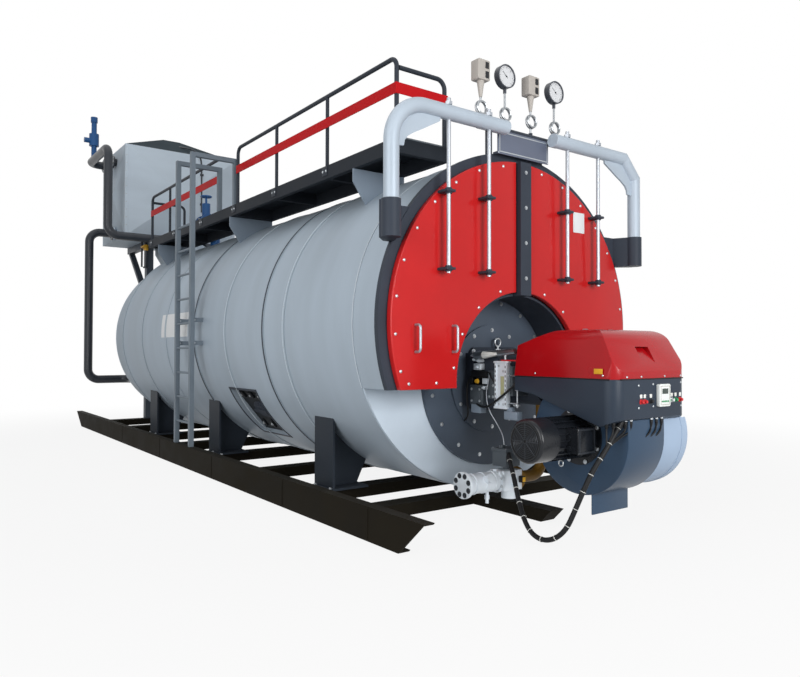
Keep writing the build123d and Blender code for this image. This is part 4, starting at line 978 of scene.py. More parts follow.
def softened(node: str, width: float, body: str = ROOT,
             crisp: tuple[Point, Point] | None = None) -> bpy.types.Object:
    """Stand a copy of a CAD node with rounded edges in its place.

    Args:
        node: CAD node.
        width: Edge rounding in metres.
        body: Body that carries it.
        crisp: Lowest and highest corner of a box in which edges stay crisp.

    Returns:
        The piece.
    """
    shape = bmesh.new()
    shape.from_mesh(bpy.data.objects[node].data)
    bmesh.ops.remove_doubles(shape, verts=shape.verts, dist=1e-5)
    flat = math.radians(FLAT_JOIN)
    bmesh.ops.dissolve_limit(shape, angle_limit=flat, verts=shape.verts, edges=shape.edges)
    least = math.radians(ROUNDED_EDGE)
    edges = [e for e in shape.edges if e.is_manifold and e.calc_face_angle(0.0) > least]
    if crisp:
        edges = [e for e in edges if not all(within(v.co, *crisp) for v in e.verts)]
    bmesh.ops.bevel(shape, geom=edges, offset=width, segments=3, profile=0.5, affect="EDGES",
                    clamp_overlap=True)
    mesh = bpy.data.meshes.new(node)
    shape.to_mesh(mesh)
    shape.free()
    for layer in ("custom_normal", "sharp_edge", "sharp_face"):
        if layer in mesh.attributes:
            mesh.attributes.remove(mesh.attributes[layer])
    finish = NODE_FINISH[node]
    mesh.materials.clear()
    mesh.materials.append(finish.material())
    return show(f"{node}_soft", mesh, finish, body, sharp=SOFT_CREASE, replaced=(node,))


def flange_bolts(at: Point, aim: Point, radius: float, plate: float, count: int) -> list[Spot]:
    """Place the bolts of a flanged joint, with heads on both outer faces.

    Args:
        at: Middle of the joint face.
        aim: Direction along the pipe.
        radius: Bolt circle.
        plate: Thickness of each flange.
        count: Number of bolts.

    Returns:
        The spots.
    """
    ahead = Vector(aim)
    first = Vector(at) + ahead * plate
    last = Vector(at) - ahead * plate
    return [*ring_spots(tuple(first), aim, radius, count),
            *ring_spots(tuple(last), tuple(-ahead), radius, count)]


class Assembly(ABC):
    """Fittings of one part of the boiler."""

    @abstractmethod
    def build(self, fixings: Fixings) -> None:
        """Add the pieces, with the shared trees."""


@dataclass
class CladShell(Assembly):
    """Rivets, label plate, pale lines on lapped seams and casing edges (a painted glint), and window trim
    on the round cladding.
    """

    bands: tuple[float, ...] = (-2.26, -1.84, -0.903, 0.002, 1.038, 2.081, 3.077)
    band_half: float = 0.025
    bead: float = 0.0035
    straps: tuple[float, ...] = (-1.84, 0.002)
    strap_half: Pair = (0.012, 0.010)
    strap_rise: float = 0.009
    # Lapped seams and casing edges carry pale lines whose colour is a painted glint.
    lap_glints: tuple[float, ...] = (-2.26, -0.903)
    lap_glint: float = 0.0032
    casing_edges: tuple[float, ...] = (-3.436, -3.762)
    casing_r: float = 1.405
    casing_arc: Pair = (-20.7, 200.7)
    casing_half: float = 0.004
    proud: float = 0.005
    sheet: float = 0.003
    rivets_round: int = 72
    label_y: Pair = (0.22, 1.20)
    label_arc: Pair = (170.0, 182.0)
    window_y: float = -1.05
    window_angle: float = 219.5
    window_half: Pair = (0.325, 0.31)
    window_floor: float = 1.316
    window_gap: float = 0.002
    catches: tuple[float, ...] = (-0.21, 0.0, 0.21)
    trim: float = 0.022
    trim_thick: float = 0.006

    def build(self, fixings: Fixings) -> None:
        """Add the pieces.

        Args:
            fixings: The shared trees.
        """
        fixings.dome("band_rivets", self._rivets(), RIVET)
        label = Mould().patch(SHELL_R, self.label_y, self.label_arc, self.sheet)
        label.show("side_plate_bare", Paint.pale_plate)
        self._edge_beads()
        self._window(fixings)

    def _rivets(self) -> list[Spot]:
        """Find a ring of rivets on every band, each pointing outward.

        Returns:
            The spots.
        """
        spots = []
        for y, k in product(self.bands, range(self.rivets_round)):
            out = spoke(2 * math.pi * (k + 0.5) / self.rivets_round)
            at = Vector((0.0, y, AXIS_Z)) + out * (SHELL_R + self.proud)
            spots.append(Spot(tuple(at), tuple(out)))
        return spots

    def _edge_beads(self) -> None:
        """Lay beads on the bands' edges, dark straps on two bands, and pale lines beside them and on the
        casing's edges whose colour is a painted glint.
        """
        beads, straps, lap_glints = Mould(), Mould(), Mould()
        for y, side in product(self.bands, SIDES):
            beads.bead((0.0, y + side * self.band_half, AXIS_Z), SHELL_R + self.proud * 0.5, self.bead)
        foot, top = self.strap_half
        crest = SHELL_R + self.strap_rise
        for y in self.straps:
            section = ((SHELL_R, -foot), (crest, -top), (crest, top), (SHELL_R, foot))
            straps.turned(section, (0.0, y, AXIS_Z), BACK, 160)
        # Pale lines on lapped seams and casing edges: painted glint.
        for y in self.lap_glints:
            lap_glints.bead((0.0, y, AXIS_Z), SHELL_R + self.proud, self.lap_glint)
        for y in self.casing_edges:
            edge = (y - self.casing_half, y + self.casing_half)
            lap_glints.patch(self.casing_r, edge, self.casing_arc, self.sheet)
        beads.show("band_beads", Paint.bead)
        straps.show("band_straps", Paint.frame)
        lap_glints.show("lap_edges", Paint.lap_glint)

    def _window(self, fixings: Fixings) -> None:
        """Line the inspection window and trim its rim.

        Args:
            fixings: The shared trees.
        """
        out, along = spoke(math.radians(self.window_angle)), Vector(BACK)
        half_y, half_c = self.window_half
        frame = Matrix((along, out.cross(along), out)).transposed().to_4x4()
        frame.translation = Vector((0.0, self.window_y, AXIS_Z)) + out * self.window_floor
        gap = self.window_gap
        liner = Mould().slab((-half_y + gap, -half_c + gap, 0.0), (half_y - gap, half_c - gap, gap))
        for place in self.catches:
            liner.slab((place - 0.05, half_c * -0.8, gap), (place + 0.05, half_c * -0.55, 0.028), 0.006)
            liner.slab((place - 0.02, half_c * 0.5, gap), (place + 0.02, half_c * 0.82, 0.022), 0.006)
        liner.moved(frame).show("window_liner", Paint.ink_paint)
        spots = [Spot(tuple(frame @ Vector((x, y, 0.024))), tuple(out))
                 for x, y in product(self.catches, (-0.21, 0.2))]
        fixings.bolt("window_bolts", spots, M14)
        arc = math.degrees(math.asin(half_c / SHELL_R))
        low, high = self.window_angle - arc, self.window_angle + arc
        wide = math.degrees(self.trim / SHELL_R)
        y0, y1 = self.window_y - half_y, self.window_y + half_y
        trim = Mould()
        for along_y, around in (((y0 - self.trim, y0), (low - wide, high + wide)),
                                ((y1, y1 + self.trim), (low - wide, high + wide)),
                                ((y0, y1), (low - wide, low)), ((y0, y1), (high, high + wide))):
            trim.patch(SHELL_R, along_y, around, self.trim_thick)
        trim.show("window_trim", Paint.frame)


@dataclass
class SmokeboxFront(Assembly):
    """Bolts, clamps and plates on the doors, the frame and the furnace flange."""

    rim_radius: float = 1.315
    rim_arc: Pair = (-16.0, 80.0)
    bite_radius: float = 0.765
    bite_arc: Pair = (8.0, 70.0)
    foot_x: Pair = (0.93, 1.19)
    foot_z: float = 1.075
    door_edge: float = 0.004
    mullion_y: float = -3.905
    mullion_z: Pair = (1.92, 2.80)
    flange_y: float = -3.480
    flange_ring: float = 0.667
    burner_plate_y: float = -3.500
    burner_plate_ring: float = 0.42
    head_y: float = -3.530
    head_half: Pair = (0.245, 0.235)
    eye_x: float = 0.025
    rods: Pair = (0.465, 0.88)
    rod_y: float = -3.95
    lugs: Pair = (2.52, 1.935)
    lug_reach: float = 0.034
    clamp_half: Pair = (0.044, 0.010)
    collar: Pair = (0.026, 0.022)
    plate: float = 0.004
    gusset: tuple[Pair, ...] = (
        (0.965, 3.07), (0.97, 3.025), (1.05, 2.982), (1.13, 2.938), (1.215, 2.895), (1.27, 2.86),
        (1.297, 2.825), (1.305, 2.785), (1.37, 2.78), (1.38, 2.95), (1.225, 3.08))
    gusset_thick: float = 0.016

    def build(self, fixings: Fixings) -> None:
        """Add the pieces.

        Args:
            fixings: The shared trees.
        """
        for side, body in zip(SIDES, (LEFT, RIGHT)):
            fixings.dome(f"{body}_bolts", self._door_spots(side), M14, body, height=0.6)
            self._clamps(side, body)
            outline = [(side * x, z) for x, z in self.gusset]
            gusset = Mould().plate(outline, self.rod_y, self.gusset_thick)
            gusset.show(f"{body}_davit_gusset", Paint.davit, body)
            softened(body, self.door_edge, body)
        mullion = line_spots(*[(0, self.mullion_y, z) for z in self.mullion_z], FRONT, 4)
        fixings.bolt("mullion_bolts", mullion, M12)
        flange = ring_spots((0, self.flange_y, FURNACE_Z), FRONT, self.flange_ring, 16, (11.25, 371.25))
        plate = ring_spots((0, self.burner_plate_y, FURNACE_Z), FRONT, self.burner_plate_ring, 12)
        fixings.bolt("flange_bolts", [*flange, *plate], STUD)
        half_x, half_z = self.head_half
        corners = product((-half_x, half_x), (FURNACE_Z - half_z, FURNACE_Z + half_z))
        fixings.bolt("head_bolts", face_spots(self.head_y, FRONT, corners), M16)
        self._eyebolt()
        self._rating_plate(fixings)

    def _door_spots(self, side: int) -> list[Spot]:
        """Find the bolts round one door.

        Args:
            side: -1 for the left door, 1 for the right one.

        Returns:
            The spots.
        """
        rim = ring_spots((0, DOOR_Y, AXIS_Z), FRONT, self.rim_radius, 9, self.rim_arc)
        bite = ring_spots((0, DOOR_Y, FURNACE_Z), FRONT, self.bite_radius, 4, self.bite_arc)
        foot = face_spots(DOOR_Y, FRONT, product(self.foot_x, (self.foot_z,)))
        return [Spot((side * s.at[0], s.at[1], s.at[2]), s.aim) for s in (*rim, *bite, *foot)]

    def _clamps(self, side: int, body: str) -> None:
        """Wrap each hanger lug in a dark clamp with a collar round the rod.

        Args:
            side: -1 for the left door, 1 for the right one.
            body: Body that carries the clamps.
        """
        mould = Mould()
        (wide, tall), (radius, reach) = self.clamp_half, self.collar
        y = self.rod_y
        for place, level in product(self.rods, self.lugs):
            x = side * place
            front = y - self.lug_reach
            mould.slab((x - wide, front, level - tall), (x + wide, DOOR_Y, level + tall), 0.003)
            mould.rod((x, y, level - reach), (x, y, level + reach), radius)
        mould.show(f"{body}_clamps", Paint.frame, body)

    def _eyebolt(self) -> None:
        """Set a lifting eye on top of the burner flange."""
        x, y = self.eye_x, self.head_y - 0.012
        mould = Mould().turned(torus_profile(0.034, 0.009), (x, y, 1.392), FRONT, 28)
        mould.rod((x, y, 1.33), (x, y, 1.362), 0.011)
        mould.slab((-0.005, self.head_y - 0.024, 1.318), (0.055, self.head_y, 1.336), 0.003)
        mould.show("burner_eyebolt", Paint.zinc)

    def _rating_plate(self, fixings: Fixings) -> None:
        """Fix a bare metal plate on the right door.

        Args:
            fixings: The shared trees.
        """
        face = DOOR_Y - self.plate
        mould = Mould().slab((0.634, face, 2.374), (0.784, DOOR_Y, 2.555), 0.0015)
        mould.slab((0.648, DOOR_Y - 0.006, 2.39), (0.77, DOOR_Y, 2.539), 0.001)
        mould.show("rating_plate_bare", Paint.pale_plate, RIGHT)
        spots = face_spots(face, FRONT, product((0.641, 0.777), (2.381, 2.548)))
        fixings.dome("rating_plate_rivets", spots, PIN, RIGHT)


@dataclass
class Instruments(Assembly):
    """Dials, needles and windows of the gauges and pressure switches."""

    dials: tuple[Point, ...] = ((-0.115, -3.790, 3.615), (0.495, -3.790, 3.615))
    dial_radius: float = 0.089
    dial_thick: float = 0.0015
    rim: float = 0.098
    marks: int = 31
    first_mark: float = 225.0
    mark_step: float = 9.0
    needle: float = 140.0
    switches: Pair = (-0.39, 0.195)
    switch_y: float = -3.817
    switch_low: float = 3.517
    window_x: Pair = (0.012, 0.05)
    window_z: tuple[Pair, ...] = ((3.612, 3.666), (3.534, 3.59))
    neck: float = 0.13
    neck_taper: Pair = (0.032, 0.013)
    row_y: float = -3.772
    coil: float = 0.05
    coil_z: float = 3.297
    coil_bar: float = 0.009
    plate_y: float = -3.88
    plate_half: float = 0.285
    plate_z: Pair = (2.935, 3.10)
    plate_rivet: float = 0.005
    soft_edge: float = 0.004

    def build(self, fixings: Fixings) -> None:
        """Add the pieces.

        Args:
            fixings: The shared trees.
        """
        faces, marks, rims, windows = Mould(), Mould(), Mould(), Mould()
        inner, outer = self.rim - 0.009, self.rim + 0.001
        section = ((inner, 0.002), (outer, 0.0), (outer, 0.012), (self.rim - 0.003, 0.014), (inner, 0.012))
        for x, y, z in self.dials:
            faces.rod((x, y, z), (x, y - self.dial_thick, z), self.dial_radius, 48)
            self._scale(marks, Vector((x, y - self.dial_thick, z)))
            rims.turned(section, (x, y, z), FRONT)
        faces.show("gauge_dials", Paint.dial)
        marks.show("gauge_scales", Paint.ink)
        rims.show("gauge_rims", Paint.gauge_case)
        near, far = self.window_x
        for x, (low, high) in product(self.switches, self.window_z):
            windows.slab((x + near, self.switch_y - 0.003, low), (x + far, self.switch_y, high), 0.002)
        windows.show("switch_windows", Paint.ink)
        self._siphons()
        for node in ("pressure_switches", "name_plate"):
            softened(node, self.soft_edge)
        half, (low, high), step = self.plate_half, self.plate_z, self.plate_rivet
        rim = Mould().frame_rim((-half, low), (half, high), self.plate_y, 0.008, 0.003)
        rim.show("name_plate_rim", Paint.zinc)
        corners = product((-half - step, half + step), (low - step, high + step))
        fixings.dome("name_plate_rivets", face_spots(self.plate_y, FRONT, corners), RIVET)

    def _siphons(self) -> None:
        """Add the second turn of each pigtail and the tapered necks of the switches."""
        turns, necks = Mould(), Mould()
        for x in (*self.switches, *[dial[0] for dial in self.dials]):
            turn = torus_profile(self.coil, self.coil_bar, 8)
            turns.turned(turn, (x, self.row_y - 0.02, self.coil_z), FRONT, 36)
        low = self.switch_low
        wide, thin = self.neck_taper
        for x in self.switches:
            necks.rod((x, self.row_y, low), (x, self.row_y, low - self.neck), wide, 20, thin)
        turns.show("siphon_turns", Paint.tube)
        necks.show("switch_necks", Paint.switch)

    def _scale(self, marks: Mould, centre: Vector) -> None:
        """Draw the scale and needle of one dial.

        Args:
            marks: Mould that takes the marks.
            centre: Middle of the dial's face.
        """
        for k in range(self.marks):
            out = spoke(math.radians(self.first_mark - self.mark_step * k))
            start, width = (0.74, 0.0022) if k % 5 == 0 else (0.84, 0.0012)
            marks.bar(centre + out * (self.dial_radius * start), centre + out * (self.dial_radius * 0.92),
                      width, FRONT)
        ahead = spoke(math.radians(self.needle))
        hub = centre + Vector(FRONT) * 0.001
        marks.bar(hub - ahead * 0.02, hub + ahead * 0.056, 0.003, FRONT)
        marks.rod(hub, hub + Vector(FRONT) * 0.003, 0.007, 16)


@dataclass
class Walkway(Assembly):
    """Grating, post shoes and fixings of the walkway and the ladder."""

    deck_x: Pair = (-1.045, -0.5)
    deck_y: Pair = (-3.5, 2.98)
    deck_top: float = 3.01
    pitch: float = 0.036
    bar: Pair = (0.005, 0.022)
    tie_bars: int = 6
    posts: int = 7
    shoe: float = 0.006
    ladder_x: float = -1.525
    stiles: Pair = (-0.27, 0.21)
    stays: Pair = (1.4, 1.66)
    stay_half: Pair = (0.005, 0.025)

    def build(self, fixings: Fixings) -> None:
        """Add the pieces.

        Args:
            fixings: The shared trees.
        """
        (x0, x1), (y0, y1) = self.deck_x, self.deck_y
        wide, tall = self.bar
        count = int((y1 - y0 - 0.04) / self.pitch)
        middle = self.deck_top + tall / 2
        fixings.bar_row("grating_bars", count, ((x0 + x1) / 2, y0 + 0.03, middle), (0, self.pitch, 0),
                        (x1 - x0 - 0.09, wide, tall), Paint.grating)
        fixings.bar_row("grating_ties", self.tie_bars, (x0 + 0.05, (y0 + y1) / 2, middle + 0.002),
                        ((x1 - x0 - 0.1) / (self.tie_bars - 1), 0, 0),
                        (0.006, y1 - y0 - 0.06, tall - 0.004), Paint.grating)
        self._shoes(fixings)
        self._ladder(fixings)

    def _shoes(self, fixings: Fixings) -> None:
        """Give every railing post a shoe on the outer channel.

        Args:
            fixings: The shared trees.
        """
        low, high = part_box("side_railings")
        places = [low.y + 0.05 + k * (high.y - low.y - 0.1) / (self.posts - 1) for k in range(self.posts)]
        edge, top = self.deck_x[0], self.deck_top
        shoes = Mould()
        for y in places:
            shoes.slab((edge - self.shoe, y - 0.045, top - 0.09), (edge, y + 0.045, top - 0.01), 0.002)
        shoes.show("post_shoes", Paint.rails)
        spots = [(y + step, top - 0.05) for y, step in product(places, (-0.03, 0.03))]
        fixings.bolt("post_bolts", face_spots(edge - self.shoe, WEST, spots), M8)

    def _ladder(self, fixings: Fixings) -> None:
        """Hold the ladder to the shell with flat stays.

        Args:
            fixings: The shared trees.
        """
        stays = Mould()
        spots = []
        thin, tall = self.stay_half
        for level, y in product(self.stays, self.stiles):
            depth = math.sqrt(SHELL_R ** 2 - (level - AXIS_Z) ** 2)
            stays.slab((self.ladder_x, y - thin, level - tall), (-depth + 0.002, y + thin, level + tall))
            spots.append(Spot((self.ladder_x + 0.03, y - thin, level), FRONT))
        stays.show("ladder_stays", Paint.ladder)
        fixings.bolt("stay_bolts", spots, M10)


@dataclass
class RearEnd(Assembly):
    """Panel edges, rivets, flange bolts and small pipes at the economizer and rear cover."""

    half_x: float = 1.0
    span_y: Pair = (4.54, 6.07)
    span_z: Pair = (3.295, 4.9)
    fold: float = 0.045
    sheet: float = 0.004
    rivet_margin: Pair = (0.1, 0.06)
    joints: tuple[tuple[Point, Point], ...] = (
        ((-1.06, 5.75, 4.75), EAST), ((-1.06, 5.13, 3.4), EAST), ((-0.385, 2.47, 3.26), BACK))
    plate: float = 0.022
    bolt_circle: float = 0.097
    cover_y: float = 3.86
    cover_ring: float = 1.25
    vent: float = 0.014
    drain_x: float = -0.6
    drain_y: float = 4.69

    def build(self, fixings: Fixings) -> None:
        """Add the pieces.

        Args:
            fixings: The shared trees.
        """
        self._folds(fixings)
        water = [flange_bolts(at, aim, self.bolt_circle, self.plate, 8) for at, aim in self.joints]
        fixings.bolt("water_flange_bolts", chain(*water), M12)
        cover = ring_spots((0, self.cover_y, AXIS_Z), BACK, self.cover_ring, 36)
        fixings.bolt("rear_cover_bolts", cover, M16)
        self._small_pipes()
        self._blank_flange(fixings)

    def _folds(self, fixings: Fixings) -> None:
        """Fold angle strips over the casing's upright edges and its lower rim, with rivets.

        Args:
            fixings: The shared trees.
        """
        (z0, z1), half = self.span_z, self.half_x
        t, w = self.sheet, self.fold
        inset, rise = self.rivet_margin
        low, high = z0 + rise, z1 - rise
        ends = tuple(zip(self.span_y, SIDES))
        strips = Mould()
        spots = []
        for side, (y, face) in product(SIDES, ends):
            x = side * half
            strips.slab((x, y - face * w, z0), (x + side * t, y + face * t, z1))
            strips.slab((x - side * w, y, z0), (x, y + face * t, z1))
            across, along = (x - side * w / 2, y + face * t), (x + side * t, y - face * w / 2)
            spots += line_spots((*across, low), (*across, high), (0.0, float(face), 0.0), 12)
            spots += line_spots((*along, low), (*along, high), (float(side), 0.0, 0.0), 12)
        for y, face in ends:
            strips.slab((-half, y, z0), (half, y + face * t, z0 + w))
            row = (y + face * t, z0 + w / 2)
            spots += line_spots((-half + inset, *row), (half - inset, *row), (0.0, float(face), 0.0), 14)
        strips.show("economizer_folds", Paint.economizer)
        fixings.dome("economizer_rivets", spots, SHEET_RIVET)

    def _small_pipes(self) -> None:
        """Run the vent tube over the roof edge and down the front, and hang the drains."""
        front = self.span_y[0] - 0.018
        vent = Mould().hose(((0.05, front + 0.45, 5.12), (0.12, front + 0.06, 5.02), (0.24, front, 4.96),
                             (0.33, front, 4.86), (0.345, front, 4.70), (0.347, front, 4.3),
                             (0.348, front, 3.854)), self.vent, 12)
        for level in (4.55, 4.0):
            vent.slab((0.318, front - 0.016, level - 0.02), (0.378, self.span_y[0], level + 0.02), 0.003)
        vent.show("vent_tube", Paint.pipe)
        bottom = self.span_z[0] + 0.002
        x, y = self.drain_x, self.drain_y
        drains = Mould().rod((x, y, bottom), (x, y, 2.78), 0.028, 20)
        drains.rod((x, 4.93, bottom), (x, 4.93, 2.82), 0.017, 16)
        drains.rod((x, y, 2.80), (x, y, 2.775), 0.045, 24).show("drain_tubes", Paint.pipe)
        tap = Mould().rod((x, y, 3.19), (x, y, 3.09), 0.042, 6)
        tap.rod((x, y, 3.14), (-0.67, y, 3.14), 0.016, 16)
        tap.slab((-0.685, 4.56, 3.132), (-0.662, 4.72, 3.16), 0.004).show("drain_tap", Paint.yellow)

    def _blank_flange(self, fixings: Fixings) -> None:
        """Set a blanked hand-hole on the economizer's left side.

        Args:
            fixings: The shared trees.
        """
        x, place = -self.half_x, (5.13, 4.69)
        root, face = (x - 0.05, *place), (x - 0.075, *place)
        blank = Mould().rod((x, *place), root, 0.07, 32).rod(root, face, 0.11, 40)
        blank.show("hand_hole_blank", Paint.pipe)
        fixings.bolt("hand_hole_bolts", ring_spots(face, WEST, 0.088, 8), M12)


@dataclass
class DamperGear(Assembly):
    """The valve blocks, the slotted column and the small lines beside the burner's neck."""

    at: Point = (-0.34, 0.0, 0.0)
    unions: tuple[Pair, ...] = (
        (-3.653, 1.28), (-3.668, 1.247), (-3.719, 1.237), (-3.70, 1.186), (-3.785, 1.02))

    def build(self, fixings: Fixings) -> None:
        """Add the pieces.

        Args:
            fixings: The shared trees.
        """
        self._plate(fixings)
        self._column(fixings)
        self._lines()

    def _plate(self, fixings: Fixings) -> None:
        """Set the valve blocks on a plate that stands on the burner flange.

        Args:
            fixings: The shared trees.
        """
        plate = Mould(self.at).slab((0.03, -3.89, 0.85), (0.045, -3.501, 1.30), 0.003)
        plate.slab((0, -3.634, 1.15), (0.03, -3.587, 1.295), 0.004).show("gear_plate", Paint.frame)
        blocks = Mould(self.at).slab((-0.025, -3.766, 0.877), (0.03, -3.615, 1.039), 0.008)
        blocks.slab((-0.032, -3.75, 0.895), (-0.025, -3.632, 1.02), 0.002)
        blocks.slab((0, -3.885, 0.93), (0.03, -3.80, 1.16), 0.006).show("gear_blocks", Paint.servo)
        black = Mould(self.at).slab((-0.012, -3.80, 1.10), (0.03, -3.615, 1.154), 0.006)
        black.slab((-0.02, -3.64, 1.045), (0.03, -3.60, 1.10), 0.006)
        black.rod((0.03, -3.704, 1.07), (-0.02, -3.704, 1.07), 0.027, 24).show("gear_boxes", Paint.rubber)
        cap = Mould(self.at).rod((-0.02, -3.704, 1.07), (-0.038, -3.704, 1.07), 0.021, 24, 0.016)
        cap.show("gear_cap", Paint.yellow)
        pale = Mould(self.at).slab((-0.02, -3.738, 1.161), (0.03, -3.653, 1.215), 0.006)
        pale.slab((-0.02, -3.813, 1.05), (0.03, -3.757, 1.095), 0.005)
        for y, z in self.unions:
            pale.rod((0.03, y, z), (-0.028, y, z), 0.014, 6)
            pale.rod((-0.028, y, z), (-0.042, y, z), 0.008, 12)
        pale.show("gear_fittings", Paint.gas)
        feet = Mould(self.at).slab((-0.03, -3.747, 0.81), (0.04, -3.634, 0.88), 0.006)
        feet.slab((-0.045, -4.171, 0.785), (0.02, -4.03, 0.85), 0.006)
        feet.slab((-0.03, -4.10, 0.84), (0.01, -4.045, 0.88), 0.004).show("gear_feet", Paint.bracket)
        x = self.at[0]
        cover = ((-3.74, 1.005), (-3.645, 1.005), (-3.74, 0.91), (-3.645, 0.91))
        spots = face_spots(x - 0.032, WEST, cover)
        spots += face_spots(x, WEST, ((-3.82, 0.95), (-3.865, 0.95), (-3.82, 1.14), (-3.865, 1.04)))
        fixings.bolt("gear_screws", spots, M8)

    def _column(self, fixings: Fixings) -> None:
        """Stand the pale slotted column on the damper servo, with the rod in front of it.

        Args:
            fixings: The shared trees.
        """
        x = self.at[0]
        column = Mould(self.at).slab((-0.04, -4.058, 0.877), (0, -3.93, 1.222), 0.004)
        for y in (-4.058, -3.948):
            column.slab((-0.047, y, 0.88), (-0.04, y + 0.018, 1.22), 0.001)
        column.slab((-0.05, -4.07, 1.222), (0, -3.92, 1.238), 0.003)
        column.slab((-0.05, -4.066, 0.865), (0, -3.922, 0.88), 0.003).show("gear_column", Paint.gas)
        for name, y in (("front", -4.049), ("rear", -3.939)):
            fixings.bar_row(f"column_slots_{name}", 9, (x - 0.047, y, 0.905), (0, 0, 0.036),
                            (0.002, 0.008, 0.018), Paint.ink)
        strip = Mould(self.at).slab((-0.043, -4.03, 0.972), (-0.04, -3.992, 1.12), 0.001)
        strip.show("column_strip", Paint.olive)
        spots = face_spots(x - 0.04, WEST, ((-3.972, 0.9), (-4.02, 0.9), (-3.972, 1.2), (-4.02, 1.16)))
        fixings.bolt("column_screws", spots, M6)
        rod = Mould(self.at).rod((-0.01, -4.143, 0.88), (-0.01, -4.143, 1.145), 0.007)
        for level in (0.9, 1.02, 1.128):
            rod.rod((-0.01, -4.143, level - 0.007), (-0.01, -4.143, level + 0.007), 0.02, 24)
        for level in (0.905, 1.12):
            rod.slab((-0.02, -4.15, level), (0, -4.05, level + 0.012), 0.003)
        rod.show("gear_rod", Paint.tube)
        knob = Mould(self.at).rod((-0.01, -4.143, 1.06), (-0.05, -4.155, 1.06), 0.02, 20, 0.016)
        knob.show("gear_knob", Paint.rubber)
        lever = Mould(self.at).slab((-0.03, -4.16, 1.238), (-0.01, -3.98, 1.25), 0.004)
        lever.show("gear_lever", Paint.red_knob)

    def _lines(self) -> None:
        """Lead the air tube with a white strip along it that is a painted highlight, the cables and the
        capillary between the pieces of the gear.
        """
        duct = Mould(self.at).rod((-0.015, -3.68, 1.28), (-0.015, -4.13, 1.315), 0.034, 28, 0.022)
        duct.slab((0, -3.72, 1.24), (0.03, -3.68, 1.30), 0.004)
        duct.rod((-0.015, -4.02, 1.236), (-0.015, -4.02, 1.30), 0.012, 12).show("gear_duct", Paint.tube)
        # White tapered strip on the tube's near side: a painted highlight.
        cone = Mould(self.at).rod((-0.03, -3.79, 1.284), (-0.03, -3.95, 1.297), 0.03, 28, 0.013)
        cone.show("gear_cone", Paint.tie)
        cables = Mould(self.at)
        cables.hose(((-0.01, -4.12, 1.06), (-0.055, -4.06, 0.99), (-0.062, -3.96, 0.925),
                     (-0.05, -3.86, 0.87), (-0.04, -3.75, 0.865), (-0.01, -3.672, 0.89)), 0.009)
        cables.hose(((0.01, -3.61, 1.12), (-0.02, -3.585, 1.07), (-0.02, -3.575, 0.96),
                     (-0.015, -3.58, 0.86), (0, -3.57, 0.77), (0.02, -3.502, 0.73)), 0.008)
        cables.hose(((0.01, -3.80, 1.14), (-0.03, -3.85, 1.15), (-0.05, -3.90, 1.10),
                     (-0.03, -3.93, 1.05)), 0.007)
        cables.show("gear_cables", Paint.rubber)
        wire = Mould(self.at)
        wire.hose(((0.01, -3.823, 1.155), (-0.03, -3.841, 1.066), (-0.03, -3.813, 0.972),
                   (-0.03, -3.841, 0.85), (-0.01, -3.93, 0.73), (-0.03, -4.02, 0.64),
                   (-0.05, -4.04, 0.567)), 0.004)
        wire.show("gear_capillary", Paint.bright)


